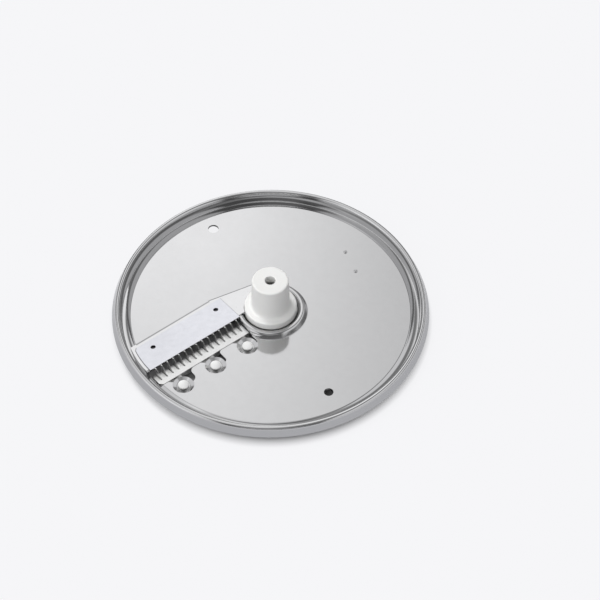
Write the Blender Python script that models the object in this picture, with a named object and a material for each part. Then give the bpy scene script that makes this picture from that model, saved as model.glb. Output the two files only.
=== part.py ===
"""Julienne (shredding) disc for a food processor: pressed steel disc, moulded hub, blade and comb of fins.

Units are metres with +Z up. The origin is on the disc's axis, at the bottom of the hub base. Heights
are measured from the top of the disc's flat, which the empty disc_axis carries at its height.
The empty blade_line lies on the flat with x along the blade, outwards at -x, and y against the
direction of cut. The empty blade_seat lies on the raised tongue, with y up to the crease.
"""

import math

import bmesh
import bpy
from mathutils import Matrix, Vector

MM = 0.001

# Fit between pieces that touch, how far a cutter runs past the wall it cuts, and the weld after a cut
FIT = 0.3 * MM
PAST = 2.0 * MM
WELD = 0.002 * MM

# Pressed disc
DISC_RADIUS = 87.5 * MM
SHEET = 1.2 * MM
RIM_HEIGHT = 5.6 * MM
RIM_TOP_WIDTH = 1.4 * MM
RIM_CURL = 0.85 * MM
RIM_WALL_LEAN = 1.0 * MM
RIM_SKIRT_LEAN = math.radians(22.5)
GROOVE_DEPTH = 1.1 * MM
GROOVE_WIDTH = 2.7 * MM
GROOVE_SLOPE = 2.0 * MM
PRESS_RADIUS = 0.9 * MM

# Collar pressed up round the hub
COLLAR_GAP = 3.0 * MM
COLLAR_HEIGHT = 3.0 * MM
COLLAR_TOP = 1.7 * MM
COLLAR_SLOPE = 1.6 * MM
HUB_SEAT_HEIGHT = 1.2 * MM
HUB_SEAT_WIDTH = 2.0 * MM

# Hub
HUB_HEIGHT = 26.35 * MM
HUB_TOP_RADIUS = 10.0 * MM
HUB_FOOT_RADIUS = 10.7 * MM
HUB_TOP_ROUND = 1.0 * MM
HUB_FOOT_ROUND = 1.4 * MM
HUB_HOLE_RADIUS = 2.95 * MM
HUB_BORE_RADIUS = 6.0 * MM
HUB_ROOF = 4.6 * MM
FLANGE_RADIUS = 14.5 * MM
FLANGE_THICKNESS = 4.4 * MM

# Base that clamps the hub from below
BASE_RADIUS = 16.5 * MM
BASE_THICKNESS = 5.7 * MM
DRIVE_SLOT_WIDTH = 5.0 * MM
DRIVE_SLOT_DEPTH = 2.6 * MM
HUB_SCREW_COUNT = 4
HUB_SCREW_RADIUS = 1.25 * MM
HUB_SCREW_BITE = 4.2 * MM
HUB_SCREW_HEAD_RADIUS = 2.3 * MM
HUB_SCREW_HEAD = 1.8 * MM
HUB_SCREW_RECESS = 0.5 * MM
HUB_SCREW_SOCKET_RADIUS = 1.0 * MM
HUB_SCREW_SOCKET = 1.1 * MM

# Raised tongue with the blade's seat
BLADE_ANGLE = math.radians(37.2)
CREASE_OFFSET = 26.5 * MM
CREASE_TURN = 22.6 * MM
CREASE_FALL = math.radians(14.0)
CREASE_STOP = 1.5 * MM
CREASE_LINE_WIDTH = 1.1 * MM
CREASE_LINE_DEPTH = 0.35 * MM
EDGE_HEIGHT = 4.4 * MM
SEAT_DEPTH = 0.9 * MM
TONGUE_WALL = 1.2 * MM
SEAT_OVERHANG = 1.6 * MM

# Blade
BLADE_THICKNESS = 1.0 * MM
BLADE_WIDTH = 19.9 * MM
BLADE_REAR_GAP = 2.5 * MM
BLADE_INNER_END = 17.8 * MM
BLADE_END_SLANT = 1.0 * MM
BLADE_CORNER = 1.6 * MM
BEVEL_WIDTH = 2.6 * MM
BLADE_LAND = 0.1 * MM
BLADE_HOLE_RADIUS = 1.4 * MM
BLADE_HOLE_REAR_INSET = 5.9 * MM
BLADE_HOLE_INNER_INSET = 6.3 * MM
BLADE_HOLE_OUTER_INSET = 9.8 * MM
BLADE_SCREW_SINK = 0.8 * MM
BLADE_SCREW_HEAD_RADIUS = 2.4 * MM
BLADE_SCREW_HEAD = 1.0 * MM

# Comb bar and its fins
COMB_GAP = 1.6 * MM
COMB_WIDTH = 7.6 * MM
COMB_THICKNESS = 3.8 * MM
COMB_CORNER = 1.6 * MM
COMB_END_GAP = 0.6 * MM
FIN_PITCH = 3.9 * MM
FIN_END_MARGIN = 2.5 * MM
FIN_THICKNESS = 0.6 * MM
FIN_HEIGHT = 4.6 * MM
FIN_LENGTH = 4.6 * MM
FIN_TANG = 2.5 * MM
FIN_GRIND = 1.0 * MM
FIN_EDGE = 0.1 * MM

# Comb rivets, in dished seats of the sheet
RIVET_INSET = 6.2 * MM
RIVET_OUTER_INSET = 10.1 * MM
RIVET_OFFSET = 6.7 * MM
RIVET_HEAD_RADIUS = 3.05 * MM
RIVET_HEAD = 0.9 * MM
RIVET_SHANK_RADIUS = 1.6 * MM
RIVET_TAIL_RADIUS = 2.8 * MM
RIVET_TAIL = 0.8 * MM
DISH_RADIUS = 5.9 * MM
DISH_FLOOR_RADIUS = 3.6 * MM
DISH_DEPTH = 1.1 * MM
LUG_THICKNESS = 1.2 * MM
LUG_RADIUS = 3.9 * MM
BAY_REACH = (6.1 * MM, 6.9 * MM, 8.6 * MM)
BAY_FLARE = (0.7 * MM, 1.8 * MM, 3.0 * MM)
BAY_START = math.radians(128.0)
BAY_END = math.radians(-14.0)

# Through holes and pips of the flat: radius of the place, its angle, radius of the hole or pip
FAR_HOLE = (68.7 * MM, math.radians(117.6), 3.0 * MM)
NEAR_HOLE = (64.8 * MM, math.radians(-61.7), 2.6 * MM)
FAR_PIP = (59.9 * MM, math.radians(44.9), 1.1 * MM)
NEAR_PIP = (55.4 * MM, math.radians(30.4), 1.1 * MM)
PIP_HEIGHT = 0.8 * MM

# Fineness of round shapes
RIM_SEGMENTS = 64
HUB_SEGMENTS = 40
DISH_SEGMENTS = 24
HOLE_SEGMENTS = 20
SMALL_SEGMENTS = 14
LONG_ARC_STEPS = 8
SIDE_ARC_STEPS = 6
CORNER_STEPS = 4
DOME_STEPS = 2
SHARP_ANGLE = math.radians(35.0)

# Places that follow from the sizes above
FLAT_HEIGHT = BASE_THICKNESS + FIT + SHEET - HUB_SEAT_HEIGHT
SPIGOT_RADIUS = FLANGE_RADIUS - HUB_SEAT_WIDTH - FIT
PLATE_BORE_RADIUS = SPIGOT_RADIUS + FIT
COLLAR_RADIUS = FLANGE_RADIUS + COLLAR_GAP
COLLAR_FOOT_RADIUS = COLLAR_RADIUS + COLLAR_TOP / 2 + COLLAR_SLOPE
RIM_EDGE_RADIUS = DISC_RADIUS - SHEET / 2 * math.cos(RIM_SKIRT_LEAN)
RIM_EDGE_HEIGHT = SHEET / 2 * math.sin(RIM_SKIRT_LEAN)
RIM_SKIRT_RUN = (RIM_HEIGHT - SHEET / 2 - RIM_EDGE_HEIGHT) * math.tan(RIM_SKIRT_LEAN)
RIM_TOP_RADIUS = RIM_EDGE_RADIUS - RIM_SKIRT_RUN
WALL_FOOT_RADIUS = RIM_TOP_RADIUS - RIM_TOP_WIDTH - RIM_WALL_LEAN
GROOVE_INNER_RADIUS = WALL_FOOT_RADIUS - SHEET / 2 - GROOVE_WIDTH
FLAT_RADIUS = GROOVE_INNER_RADIUS - GROOVE_SLOPE
TONGUE_RADIUS = GROOVE_INNER_RADIUS + GROOVE_WIDTH / 2
WALL_INNER_RADIUS = TONGUE_RADIUS - TONGUE_WALL
BLADE_END_RADIUS = WALL_INNER_RADIUS - 2 * FIT
SEAT_LENGTH = BLADE_REAR_GAP + BLADE_WIDTH
SEAT_SLOPE = math.asin((EDGE_HEIGHT - BLADE_THICKNESS - FIT + SEAT_DEPTH) / SEAT_LENGTH)
EDGE_Y = CREASE_OFFSET - SEAT_LENGTH * math.cos(SEAT_SLOPE)
COMB_REAR = EDGE_Y - COMB_GAP
COMB_FRONT = COMB_REAR - COMB_WIDTH
COMB_INNER = COLLAR_RADIUS + COLLAR_TOP / 2 + FIT
OPENING_RADIUS = WALL_INNER_RADIUS - FIT
COMB_END_RADIUS = OPENING_RADIUS - COMB_END_GAP
FIN_SPAN = COMB_END_RADIUS - COMB_INNER - 2 * FIN_END_MARGIN
FIN_COUNT = 1 + int(FIN_SPAN / FIN_PITCH)
RIVET_Y = COMB_FRONT - RIVET_OFFSET
RIVET_ROW = COMB_END_RADIUS - RIVET_OUTER_INSET - COMB_INNER - RIVET_INSET
RIVET_PITCH = RIVET_ROW / (len(BAY_REACH) - 1)
LUG_TOP = -DISH_DEPTH - SHEET - FIT
LUG_BOTTOM = LUG_TOP - LUG_THICKNESS
HUB_SCREW_CIRCLE = (HUB_BORE_RADIUS + SPIGOT_RADIUS) / 2


# Outlines


def arc(radius, start, end, steps, centre=(0.0, 0.0)):
    """Points along an arc from one angle to the other, both ends included."""
    angles = [start + (end - start) * i / steps for i in range(steps + 1)]
    return [(centre[0] + radius * math.cos(a), centre[1] + radius * math.sin(a)) for a in angles]


def rounded(corners):
    """A path of (x, y, radius, steps) corners, with each corner turned into an arc."""
    points = []
    for i, (x, y, radius, steps) in enumerate(corners):
        if not radius or i in (0, len(corners) - 1):
            points.append((x, y))
            continue
        corner = Vector((x, y))
        back = (Vector(corners[i - 1][:2]) - corner).normalized()
        ahead = (Vector(corners[i + 1][:2]) - corner).normalized()
        half = back.angle(ahead) / 2
        centre = corner + (back + ahead).normalized() * radius / math.sin(half)
        first = corner + back * radius / math.tan(half) - centre
        turn = first.angle_signed(corner + ahead * radius / math.tan(half) - centre)
        for step in range(steps + 1):
            points.append(tuple(centre + Matrix.Rotation(-turn * step / steps, 2) @ first))
    return points


def sheet_section(path, thickness):
    """The closed section of a sheet whose middle follows the path."""
    points = [Vector(point) for point in path]
    upper = []
    lower = []
    for i, point in enumerate(points):
        before = (point - points[max(i - 1, 0)]).normalized()
        after = (points[min(i + 1, len(points) - 1)] - point).normalized()
        along = (before + after).normalized()
        across = Vector((-along.y, along.x))
        reach = thickness / 2 / max(abs(along.dot(after)), abs(along.dot(before)))
        upper.append(tuple(point + across * reach))
        lower.append(tuple(point - across * reach))
    return upper + lower[::-1]


def circle_x(radius, y):
    """Where the circle round the disc's axis crosses this y, on the blade's side."""
    return -math.sqrt(radius**2 - y**2)


def side_arc(radius, y_from, y_to, steps):
    """The arc round the disc's axis between two values of y, on the blade's side."""
    start = math.pi - math.asin(y_from / radius)
    end = math.pi - math.asin(y_to / radius)
    return arc(radius, start, end, steps)


def on_seat(points):
    """Points in plan on the blade line, as they lie on the tilted seat."""
    return [(x, (y - CREASE_OFFSET) / math.cos(SEAT_SLOPE)) for x, y in points]


# Solids


def finish_mesh(bm, name, parent):
    """A new object from this bmesh, with its faces pointing out."""
    bmesh.ops.recalc_face_normals(bm, faces=bm.faces)
    mesh = bpy.data.meshes.new(name)
    bm.to_mesh(mesh)
    bm.free()
    obj = bpy.data.objects.new(name, mesh)
    obj.parent = parent
    bpy.context.scene.collection.objects.link(obj)
    return obj


def turned(name, parent, section, segments, at=(0.0, 0.0)):
    """A solid turned about the vertical through this place, from a closed section of (radius, height)."""
    bm = bmesh.new()
    verts = [bm.verts.new((radius, 0.0, height)) for radius, height in section]
    edges = [bm.edges.new((verts[i - 1], vert)) for i, vert in enumerate(verts)]
    ring = verts + edges
    turn = 2 * math.pi
    bmesh.ops.spin(bm, geom=ring, cent=(0, 0, 0), axis=(0, 0, 1), angle=turn, steps=segments, use_merge=True)
    bmesh.ops.remove_doubles(bm, verts=bm.verts, dist=WELD)
    bmesh.ops.delete(bm, geom=[edge for edge in bm.edges if not edge.link_faces], context="EDGES")
    bmesh.ops.translate(bm, verts=bm.verts, vec=(at[0], at[1], 0.0))
    return finish_mesh(bm, name, parent)


def prism(name, parent, outline, low, high):
    """An outline in plan, extruded from one height to the other."""
    bm = bmesh.new()
    face = bm.faces.new([bm.verts.new((x, y, low)) for x, y in outline])
    raised = bmesh.ops.extrude_face_region(bm, geom=[face])["geom"]
    moved = [item for item in raised if isinstance(item, bmesh.types.BMVert)]
    bmesh.ops.translate(bm, verts=moved, vec=(0.0, 0.0, high - low))
    return finish_mesh(bm, name, parent)


def drum(name, parent, at, radius, low, high, segments=HOLE_SEGMENTS):
    """A plain cylinder."""
    outline = arc(radius, 0.0, 2 * math.pi * (1 - 1 / segments), segments - 1, at)
    return prism(name, parent, outline, low, high)


def combine(target, tools, operation):
    """Joins each tool to the target, or cuts it from it, and removes it."""
    for tool in tools:
        modifier = target.modifiers.new(operation.lower(), "BOOLEAN")
        modifier.operation = operation
        modifier.object = tool
        bpy.context.view_layer.update()
        bm = bmesh.new()
        bm.from_object(target, bpy.context.evaluated_depsgraph_get())
        bmesh.ops.remove_doubles(bm, verts=bm.verts, dist=WELD)
        bmesh.ops.dissolve_degenerate(bm, edges=bm.edges, dist=WELD)
        target.modifiers.clear()
        bm.to_mesh(target.data)
        bm.free()
        bpy.data.objects.remove(tool)


def slice_off(obj, point, normal):
    """Cuts away all that lies beyond this plane and closes the cut."""
    bm = bmesh.new()
    bm.from_mesh(obj.data)
    geometry = bm.verts[:] + bm.edges[:] + bm.faces[:]
    cut = bmesh.ops.bisect_plane(bm, geom=geometry, plane_co=point, plane_no=normal, clear_outer=True)
    rim = [item for item in cut["geom_cut"] if isinstance(item, bmesh.types.BMEdge)]
    bmesh.ops.holes_fill(bm, edges=rim, sides=0)
    bmesh.ops.recalc_face_normals(bm, faces=bm.faces)
    bm.to_mesh(obj.data)
    bm.free()


def dress(obj, material):
    """Gives a finished piece its material and its smooth shading."""
    obj.data.materials.clear()
    obj.data.materials.append(material)
    obj.data.shade_smooth()
    obj.data.set_sharp_from_angle(angle=SHARP_ANGLE)


def principled(name, colour, roughness, metallic):
    material = bpy.data.materials.new(name)
    material.use_nodes = True
    shader = material.node_tree.nodes["Principled BSDF"]
    shader.inputs["Base Color"].default_value = (*colour, 1.0)
    shader.inputs["Roughness"].default_value = roughness
    shader.inputs["Metallic"].default_value = metallic
    return material


# Pressed disc


def plate_path():
    """The middle of the sheet, from the hub's bore out to the edge of the rolled rim."""
    half = SHEET / 2
    rim_middle = RIM_HEIGHT - half
    return rounded(
        [
            (PLATE_BORE_RADIUS, HUB_SEAT_HEIGHT - half, 0.0, 0),
            (FLANGE_RADIUS + 2 * FIT, HUB_SEAT_HEIGHT - half, PRESS_RADIUS, 1),
            (COLLAR_RADIUS - COLLAR_TOP / 2, COLLAR_HEIGHT - half, PRESS_RADIUS, 2),
            (COLLAR_RADIUS + COLLAR_TOP / 2, COLLAR_HEIGHT - half, PRESS_RADIUS, 1),
            (COLLAR_FOOT_RADIUS, -half, PRESS_RADIUS, 1),
            (FLAT_RADIUS, -half, PRESS_RADIUS, 1),
            (GROOVE_INNER_RADIUS, -GROOVE_DEPTH - half, PRESS_RADIUS, 1),
            (WALL_FOOT_RADIUS, -GROOVE_DEPTH - half, PRESS_RADIUS, 1),
            (RIM_TOP_RADIUS - RIM_TOP_WIDTH, rim_middle, RIM_CURL, 3),
            (RIM_TOP_RADIUS, rim_middle, RIM_CURL, 3),
            (RIM_EDGE_RADIUS, RIM_EDGE_HEIGHT, 0.0, 0),
        ]
    )


def opening_outline():
    """The sheet's cut-out for the comb, which runs on under the tongue."""
    rear = CREASE_OFFSET - FIT
    tongue_front = EDGE_Y + SEAT_OVERHANG
    radius = COLLAR_FOOT_RADIUS - FIT
    turn, end = crease_ends(-FIT)
    stop = math.pi - math.asin(tongue_front / radius)
    outer = side_arc(OPENING_RADIUS, COMB_FRONT - FIT, rear, LONG_ARC_STEPS)
    inner = arc(radius, math.atan2(end[1], end[0]), stop, LONG_ARC_STEPS)
    return outer + [turn] + inner + [(FIT - COMB_INNER, tongue_front), (FIT - COMB_INNER, COMB_FRONT - FIT)]


def crease_ends(offset):
    """The crease's turning point and its end beside the collar, moved this far outwards."""
    turn = Vector((-CREASE_TURN, CREASE_OFFSET + offset))
    along = Vector((math.cos(CREASE_FALL), -math.sin(CREASE_FALL)))
    return tuple(turn), tuple(turn - along * (turn.dot(along) + CREASE_STOP))


def tongue_outline(front, rear_offset, outer, inner):
    """The raised tongue in plan, between circles of these radii, from its front edge to the crease."""
    turn, end = crease_ends(rear_offset)
    stop = math.pi - math.asin(front / inner)
    outside = side_arc(outer, front, CREASE_OFFSET + rear_offset, SIDE_ARC_STEPS)
    return outside + [turn, end] + arc(inner, math.atan2(end[1], end[0]), stop, LONG_ARC_STEPS)


def blade_outline(grow):
    """The blade in plan, or its seat where it grows by the fit."""
    rear = CREASE_OFFSET - BLADE_REAR_GAP * math.cos(SEAT_SLOPE) + grow
    front = EDGE_Y
    radius = BLADE_END_RADIUS + grow
    corner_y = rear - BLADE_CORNER
    outside = side_arc(radius, front, corner_y, SIDE_ARC_STEPS)
    corner_x = circle_x(radius, corner_y) + BLADE_CORNER
    inner_rear = (BLADE_END_SLANT - BLADE_INNER_END + grow, rear)
    return outside + [(corner_x, rear), inner_rear, (grow - BLADE_INNER_END, front)]


def bay_outline(at, reach, flare):
    """The bay of the comb opening beside one dished seat: a lobe round it that flares to the opening."""
    x, y = at
    tab = DISH_RADIUS - FIT
    mouth = COMB_FRONT - y
    around = arc(tab, BAY_START, BAY_END, LONG_ARC_STEPS, at)
    lobe = reach - tab * math.cos(BAY_END)
    lobe_centre = (around[-1][0], around[-1][1] + lobe)
    flare_centre = (x + reach + flare, y + mouth - FIT - flare)
    lobe_side = arc(lobe, -math.pi / 2, 0.0, CORNER_STEPS, lobe_centre)[1:]
    right = lobe_side + arc(flare, math.pi, math.pi / 2, CORNER_STEPS, flare_centre)
    return around + right + [(x + reach + flare, y + mouth), (x - tab, y + mouth), (x - tab, y + mouth - FIT)]


def rivet_places():
    return [(-COMB_INNER - RIVET_INSET - RIVET_PITCH * i, RIVET_Y) for i in range(len(BAY_REACH))]


def add_tongue(plate, blade_line, blade_seat):
    """Raises the tongue in front of the crease, with the recess that the blade lies in."""
    front = EDGE_Y + SEAT_OVERHANG
    collar_side = COLLAR_RADIUS + COLLAR_TOP / 2
    seat_wall = blade_outline(FIT + TONGUE_WALL)
    floor = -SEAT_DEPTH - SHEET
    outline = on_seat(tongue_outline(front, FIT, TONGUE_RADIUS, collar_side))
    tongue = prism("tongue", blade_seat, outline, -SHEET, 0.0)
    seat = prism("seat", blade_seat, on_seat(seat_wall), floor, -SHEET / 2)
    slice_off(seat, (0.0, on_seat([(0.0, front)])[0][1], 0.0), (0.0, -1.0, 0.0))
    lip_outside = side_arc(TONGUE_RADIUS, front, CREASE_OFFSET, SIDE_ARC_STEPS)
    lip_inside = side_arc(OPENING_RADIUS - FIT, CREASE_OFFSET, front, SIDE_ARC_STEPS)
    end_wall = prism("end_wall", blade_line, lip_outside + lip_inside, -GROOVE_DEPTH - SHEET / 2, EDGE_HEIGHT)
    slice_off(end_wall, (0.0, CREASE_OFFSET, -SHEET / 2), (0.0, math.sin(SEAT_SLOPE), math.cos(SEAT_SLOPE)))
    combine(plate, [tongue, seat, end_wall], "UNION")
    recess = prism("recess", blade_seat, on_seat(blade_outline(FIT)), -SEAT_DEPTH, PAST)
    combine(plate, [recess] + blade_screw_holes(blade_seat, floor - PAST, PAST), "DIFFERENCE")


def add_dishes(plate, blade_line):
    """Dishes the sheet under each rivet head, then opens it for the comb, with a bay beside each dish."""
    lean = (DISH_RADIUS - DISH_FLOOR_RADIUS) / DISH_DEPTH
    cuts = [prism("opening", blade_line, opening_outline(), LUG_BOTTOM, RIM_HEIGHT + PAST)]
    dishes = []
    for at, reach, flare in zip(rivet_places(), BAY_REACH, BAY_FLARE):
        under = [
            (RIVET_SHANK_RADIUS, -SHEET / 2),
            (DISH_RADIUS + SHEET / 2 + lean * SHEET / 2, -SHEET / 2),
            (DISH_FLOOR_RADIUS + SHEET / 2, -DISH_DEPTH - SHEET),
            (RIVET_SHANK_RADIUS, -DISH_DEPTH - SHEET),
        ]
        inside = [
            (0.0, PAST),
            (DISH_RADIUS + lean * PAST, PAST),
            (DISH_FLOOR_RADIUS, -DISH_DEPTH),
            (RIVET_SHANK_RADIUS + FIT, -DISH_DEPTH),
            (RIVET_SHANK_RADIUS + FIT, LUG_BOTTOM),
            (0.0, LUG_BOTTOM),
        ]
        dishes.append(turned("dish", blade_line, under, DISH_SEGMENTS, at))
        cuts.append(turned("dish_inside", blade_line, inside, DISH_SEGMENTS, at))
        cuts.append(prism("bay", blade_line, bay_outline(at, reach, flare), LUG_BOTTOM, PAST))
    combine(plate, dishes, "UNION")
    combine(plate, cuts, "DIFFERENCE")


def add_crease_line(plate, blade_line):
    """Presses a fine line along the crease, from the rim's groove to the collar."""
    turn, end = crease_ends(0.0)
    width, depth = CREASE_LINE_WIDTH, CREASE_LINE_DEPTH
    section = [(0.0, -depth), (width, depth), (-width, depth)]
    outer = (circle_x(FLAT_RADIUS, CREASE_OFFSET), CREASE_OFFSET)
    stand = Matrix(((0, 0, 1, 0), (1, 0, 0, 0), (0, 1, 0, 0), (0, 0, 0, 1)))
    for start, stop in ((outer, turn), (turn, end)):
        run = Vector(stop) - Vector(start)
        line = prism("crease_line", blade_line, section, 0.0, run.length)
        heading = Matrix.Rotation(math.atan2(run.y, run.x), 4, "Z")
        line.data.transform(Matrix.Translation((*start, 0.0)) @ heading @ stand)
        combine(plate, [line], "DIFFERENCE")


def make_plate(disc_axis, blade_line, blade_seat, material):
    plate = turned("disc_plate", disc_axis, sheet_section(plate_path(), SHEET), RIM_SEGMENTS)
    add_dishes(plate, blade_line)
    add_tongue(plate, blade_line, blade_seat)
    add_crease_line(plate, blade_line)
    holes = []
    for radius, angle, size in (FAR_HOLE, NEAR_HOLE):
        at = (radius * math.cos(angle), radius * math.sin(angle))
        holes.append(drum("hole", disc_axis, at, size, -SHEET - PAST, PAST))
    combine(plate, holes, "DIFFERENCE")
    pips = []
    for radius, angle, size in (FAR_PIP, NEAR_PIP):
        at = (radius * math.cos(angle), radius * math.sin(angle))
        turns = [math.pi / 2 * i / DOME_STEPS for i in range(DOME_STEPS + 1)]
        dome = [(size * math.cos(turn), PIP_HEIGHT * math.sin(turn)) for turn in turns]
        root = [(0.0, -SHEET / 2), (size, -SHEET / 2)]
        pips.append(turned("pip", disc_axis, root + dome, SMALL_SEGMENTS, at))
    combine(plate, pips, "UNION")
    dress(plate, material)
    return plate


# Hub and its base


def hub_screw_places():
    angles = [math.pi / 4 + 2 * math.pi * i / HUB_SCREW_COUNT for i in range(HUB_SCREW_COUNT)]
    return [(HUB_SCREW_CIRCLE * math.cos(a), HUB_SCREW_CIRCLE * math.sin(a)) for a in angles]


def hub_screw_cuts(disc_axis, radius, low, high):
    """A cutter at each hub screw, wider than this radius by the fit."""
    places = hub_screw_places()
    return [drum("screw_cut", disc_axis, at, radius + FIT, low, high, SMALL_SEGMENTS) for at in places]


def make_hub(disc_axis, material):
    seat = HUB_SEAT_HEIGHT + FIT
    flange_top = seat + FLANGE_THICKNESS
    spigot = HUB_SEAT_HEIGHT - SHEET
    section = rounded(
        [
            (HUB_BORE_RADIUS, spigot, 0.0, 0),
            (SPIGOT_RADIUS, spigot, 0.0, 0),
            (SPIGOT_RADIUS, seat, 0.0, 0),
            (FLANGE_RADIUS, seat, 0.0, 0),
            (FLANGE_RADIUS, flange_top, HUB_TOP_ROUND, 3),
            (HUB_FOOT_RADIUS, flange_top, HUB_FOOT_ROUND, 3),
            (HUB_TOP_RADIUS, HUB_HEIGHT, HUB_TOP_ROUND, 3),
            (HUB_HOLE_RADIUS, HUB_HEIGHT, 0.0, 0),
            (HUB_HOLE_RADIUS, HUB_HEIGHT - HUB_ROOF, 0.0, 0),
            (HUB_BORE_RADIUS, HUB_HEIGHT - HUB_ROOF, 0.0, 0),
        ]
    )
    hub = turned("hub", disc_axis, section, HUB_SEGMENTS)
    depth = spigot + HUB_SCREW_BITE + FIT
    combine(hub, hub_screw_cuts(disc_axis, HUB_SCREW_RADIUS, spigot - PAST, depth), "DIFFERENCE")
    dress(hub, material)
    return hub


def make_hub_base(disc_axis, material):
    top = HUB_SEAT_HEIGHT - SHEET - FIT
    bottom = top - BASE_THICKNESS
    section = rounded(
        [
            (HUB_BORE_RADIUS, bottom, 0.0, 0),
            (BASE_RADIUS, bottom, HUB_TOP_ROUND, 2),
            (BASE_RADIUS, top, HUB_TOP_ROUND, 2),
            (HUB_BORE_RADIUS, top, 0.0, 0),
        ]
    )
    base = turned("hub_base", disc_axis, section, HUB_SEGMENTS)
    half = DRIVE_SLOT_WIDTH / 2
    reach = BASE_RADIUS + PAST
    outline = [(-reach, -half), (reach, -half), (reach, half), (-reach, half)]
    slot = prism("drive_slot", disc_axis, outline, bottom - PAST, bottom + DRIVE_SLOT_DEPTH)
    head_top = bottom + HUB_SCREW_RECESS + HUB_SCREW_HEAD + FIT
    shanks = hub_screw_cuts(disc_axis, HUB_SCREW_RADIUS, bottom - PAST, top + PAST)
    heads = hub_screw_cuts(disc_axis, HUB_SCREW_HEAD_RADIUS, bottom - PAST, head_top)
    combine(base, [slot] + shanks + heads, "DIFFERENCE")
    dress(base, material)
    return base


def make_hub_screws(disc_axis, material):
    spigot = HUB_SEAT_HEIGHT - SHEET
    head_low = spigot - FIT - BASE_THICKNESS + HUB_SCREW_RECESS
    head_top = head_low + HUB_SCREW_HEAD
    socket_top = head_low + HUB_SCREW_SOCKET
    section = [
        (0.0, socket_top),
        (HUB_SCREW_SOCKET_RADIUS, socket_top),
        (HUB_SCREW_SOCKET_RADIUS, head_low),
        (HUB_SCREW_HEAD_RADIUS, head_low),
        (HUB_SCREW_HEAD_RADIUS, head_top),
        (HUB_SCREW_RADIUS, head_top),
        (HUB_SCREW_RADIUS, spigot + HUB_SCREW_BITE),
        (0.0, spigot + HUB_SCREW_BITE),
    ]
    for number, at in enumerate(hub_screw_places(), 1):
        dress(turned(f"hub_screw_{number}", disc_axis, section, SMALL_SEGMENTS, at), material)


# Blade


def blade_screw_places():
    """The blade's two screws, on its seat."""
    y = -BLADE_REAR_GAP - BLADE_HOLE_REAR_INSET
    blade_end = circle_x(BLADE_END_RADIUS, CREASE_OFFSET + y * math.cos(SEAT_SLOPE))
    return [(-BLADE_INNER_END - BLADE_HOLE_INNER_INSET, y), (blade_end + BLADE_HOLE_OUTER_INSET, y)]


def blade_screw_holes(blade_seat, low, high):
    places = blade_screw_places()
    return [drum("hole", blade_seat, at, BLADE_HOLE_RADIUS, low, high, SMALL_SEGMENTS) for at in places]


def make_blade(blade_seat, material):
    low = FIT - SEAT_DEPTH
    high = low + BLADE_THICKNESS
    blade = prism("slicing_blade", blade_seat, on_seat(blade_outline(0.0)), low, high)
    lean = Vector((0.0, -BLADE_THICKNESS, -BEVEL_WIDTH)).normalized()
    slice_off(blade, (0.0, -SEAT_LENGTH, high - BLADE_LAND), lean)
    combine(blade, blade_screw_holes(blade_seat, low - PAST, high + PAST), "DIFFERENCE")
    dress(blade, material)


def make_blade_screws(blade_seat, material):
    shank = BLADE_HOLE_RADIUS - FIT
    top = FIT - SEAT_DEPTH + BLADE_THICKNESS - BLADE_SCREW_SINK
    head_top = -SEAT_DEPTH - SHEET - FIT
    head_low = head_top - BLADE_SCREW_HEAD
    section = [
        (0.0, head_low),
        (BLADE_SCREW_HEAD_RADIUS, head_low),
        (BLADE_SCREW_HEAD_RADIUS, head_top),
        (shank, head_top),
        (shank, top),
        (0.0, top),
    ]
    for number, at in enumerate(blade_screw_places(), 1):
        dress(turned(f"blade_screw_{number}", blade_seat, section, SMALL_SEGMENTS, at), material)


# Comb


def fin_places():
    return [-COMB_INNER - FIN_END_MARGIN - FIN_PITCH * i for i in range(FIN_COUNT)]


def make_comb_strip(blade_line, material):
    """The comb's bar, with a slot for each fin and a lug under each dished seat."""
    end = side_arc(COMB_END_RADIUS, COMB_FRONT + COMB_CORNER, COMB_REAR, SIDE_ARC_STEPS)
    corner = (circle_x(COMB_END_RADIUS, COMB_FRONT) + COMB_CORNER, COMB_FRONT)
    outline = end + [(-COMB_INNER, COMB_REAR), (-COMB_INNER, COMB_FRONT), corner]
    strip = prism("comb_strip", blade_line, outline, -COMB_THICKNESS, 0.0)
    lugs = []
    cuts = []
    for x, y in rivet_places():
        root = COMB_FRONT + FIT
        end = arc(LUG_RADIUS, math.pi, 2 * math.pi, LONG_ARC_STEPS, (x, y))
        lug = end + [(x + LUG_RADIUS, root), (x - LUG_RADIUS, root)]
        lugs.append(prism("lug", blade_line, lug, LUG_BOTTOM, LUG_TOP))
        hole = RIVET_SHANK_RADIUS + FIT
        cuts.append(drum("hole", blade_line, (x, y), hole, LUG_BOTTOM - PAST, LUG_TOP + PAST, SMALL_SEGMENTS))
    half = FIN_THICKNESS / 2 + FIT
    for x in fin_places():
        slot = [
            (x - half, COMB_REAR - FIN_LENGTH - FIT),
            (x + half, COMB_REAR - FIN_LENGTH - FIT),
            (x + half, COMB_REAR + PAST),
            (x - half, COMB_REAR + PAST),
        ]
        cuts.append(prism("slot", blade_line, slot, -FIN_TANG - FIT, PAST))
    combine(strip, lugs, "UNION")
    combine(strip, cuts, "DIFFERENCE")
    dress(strip, material)


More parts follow.
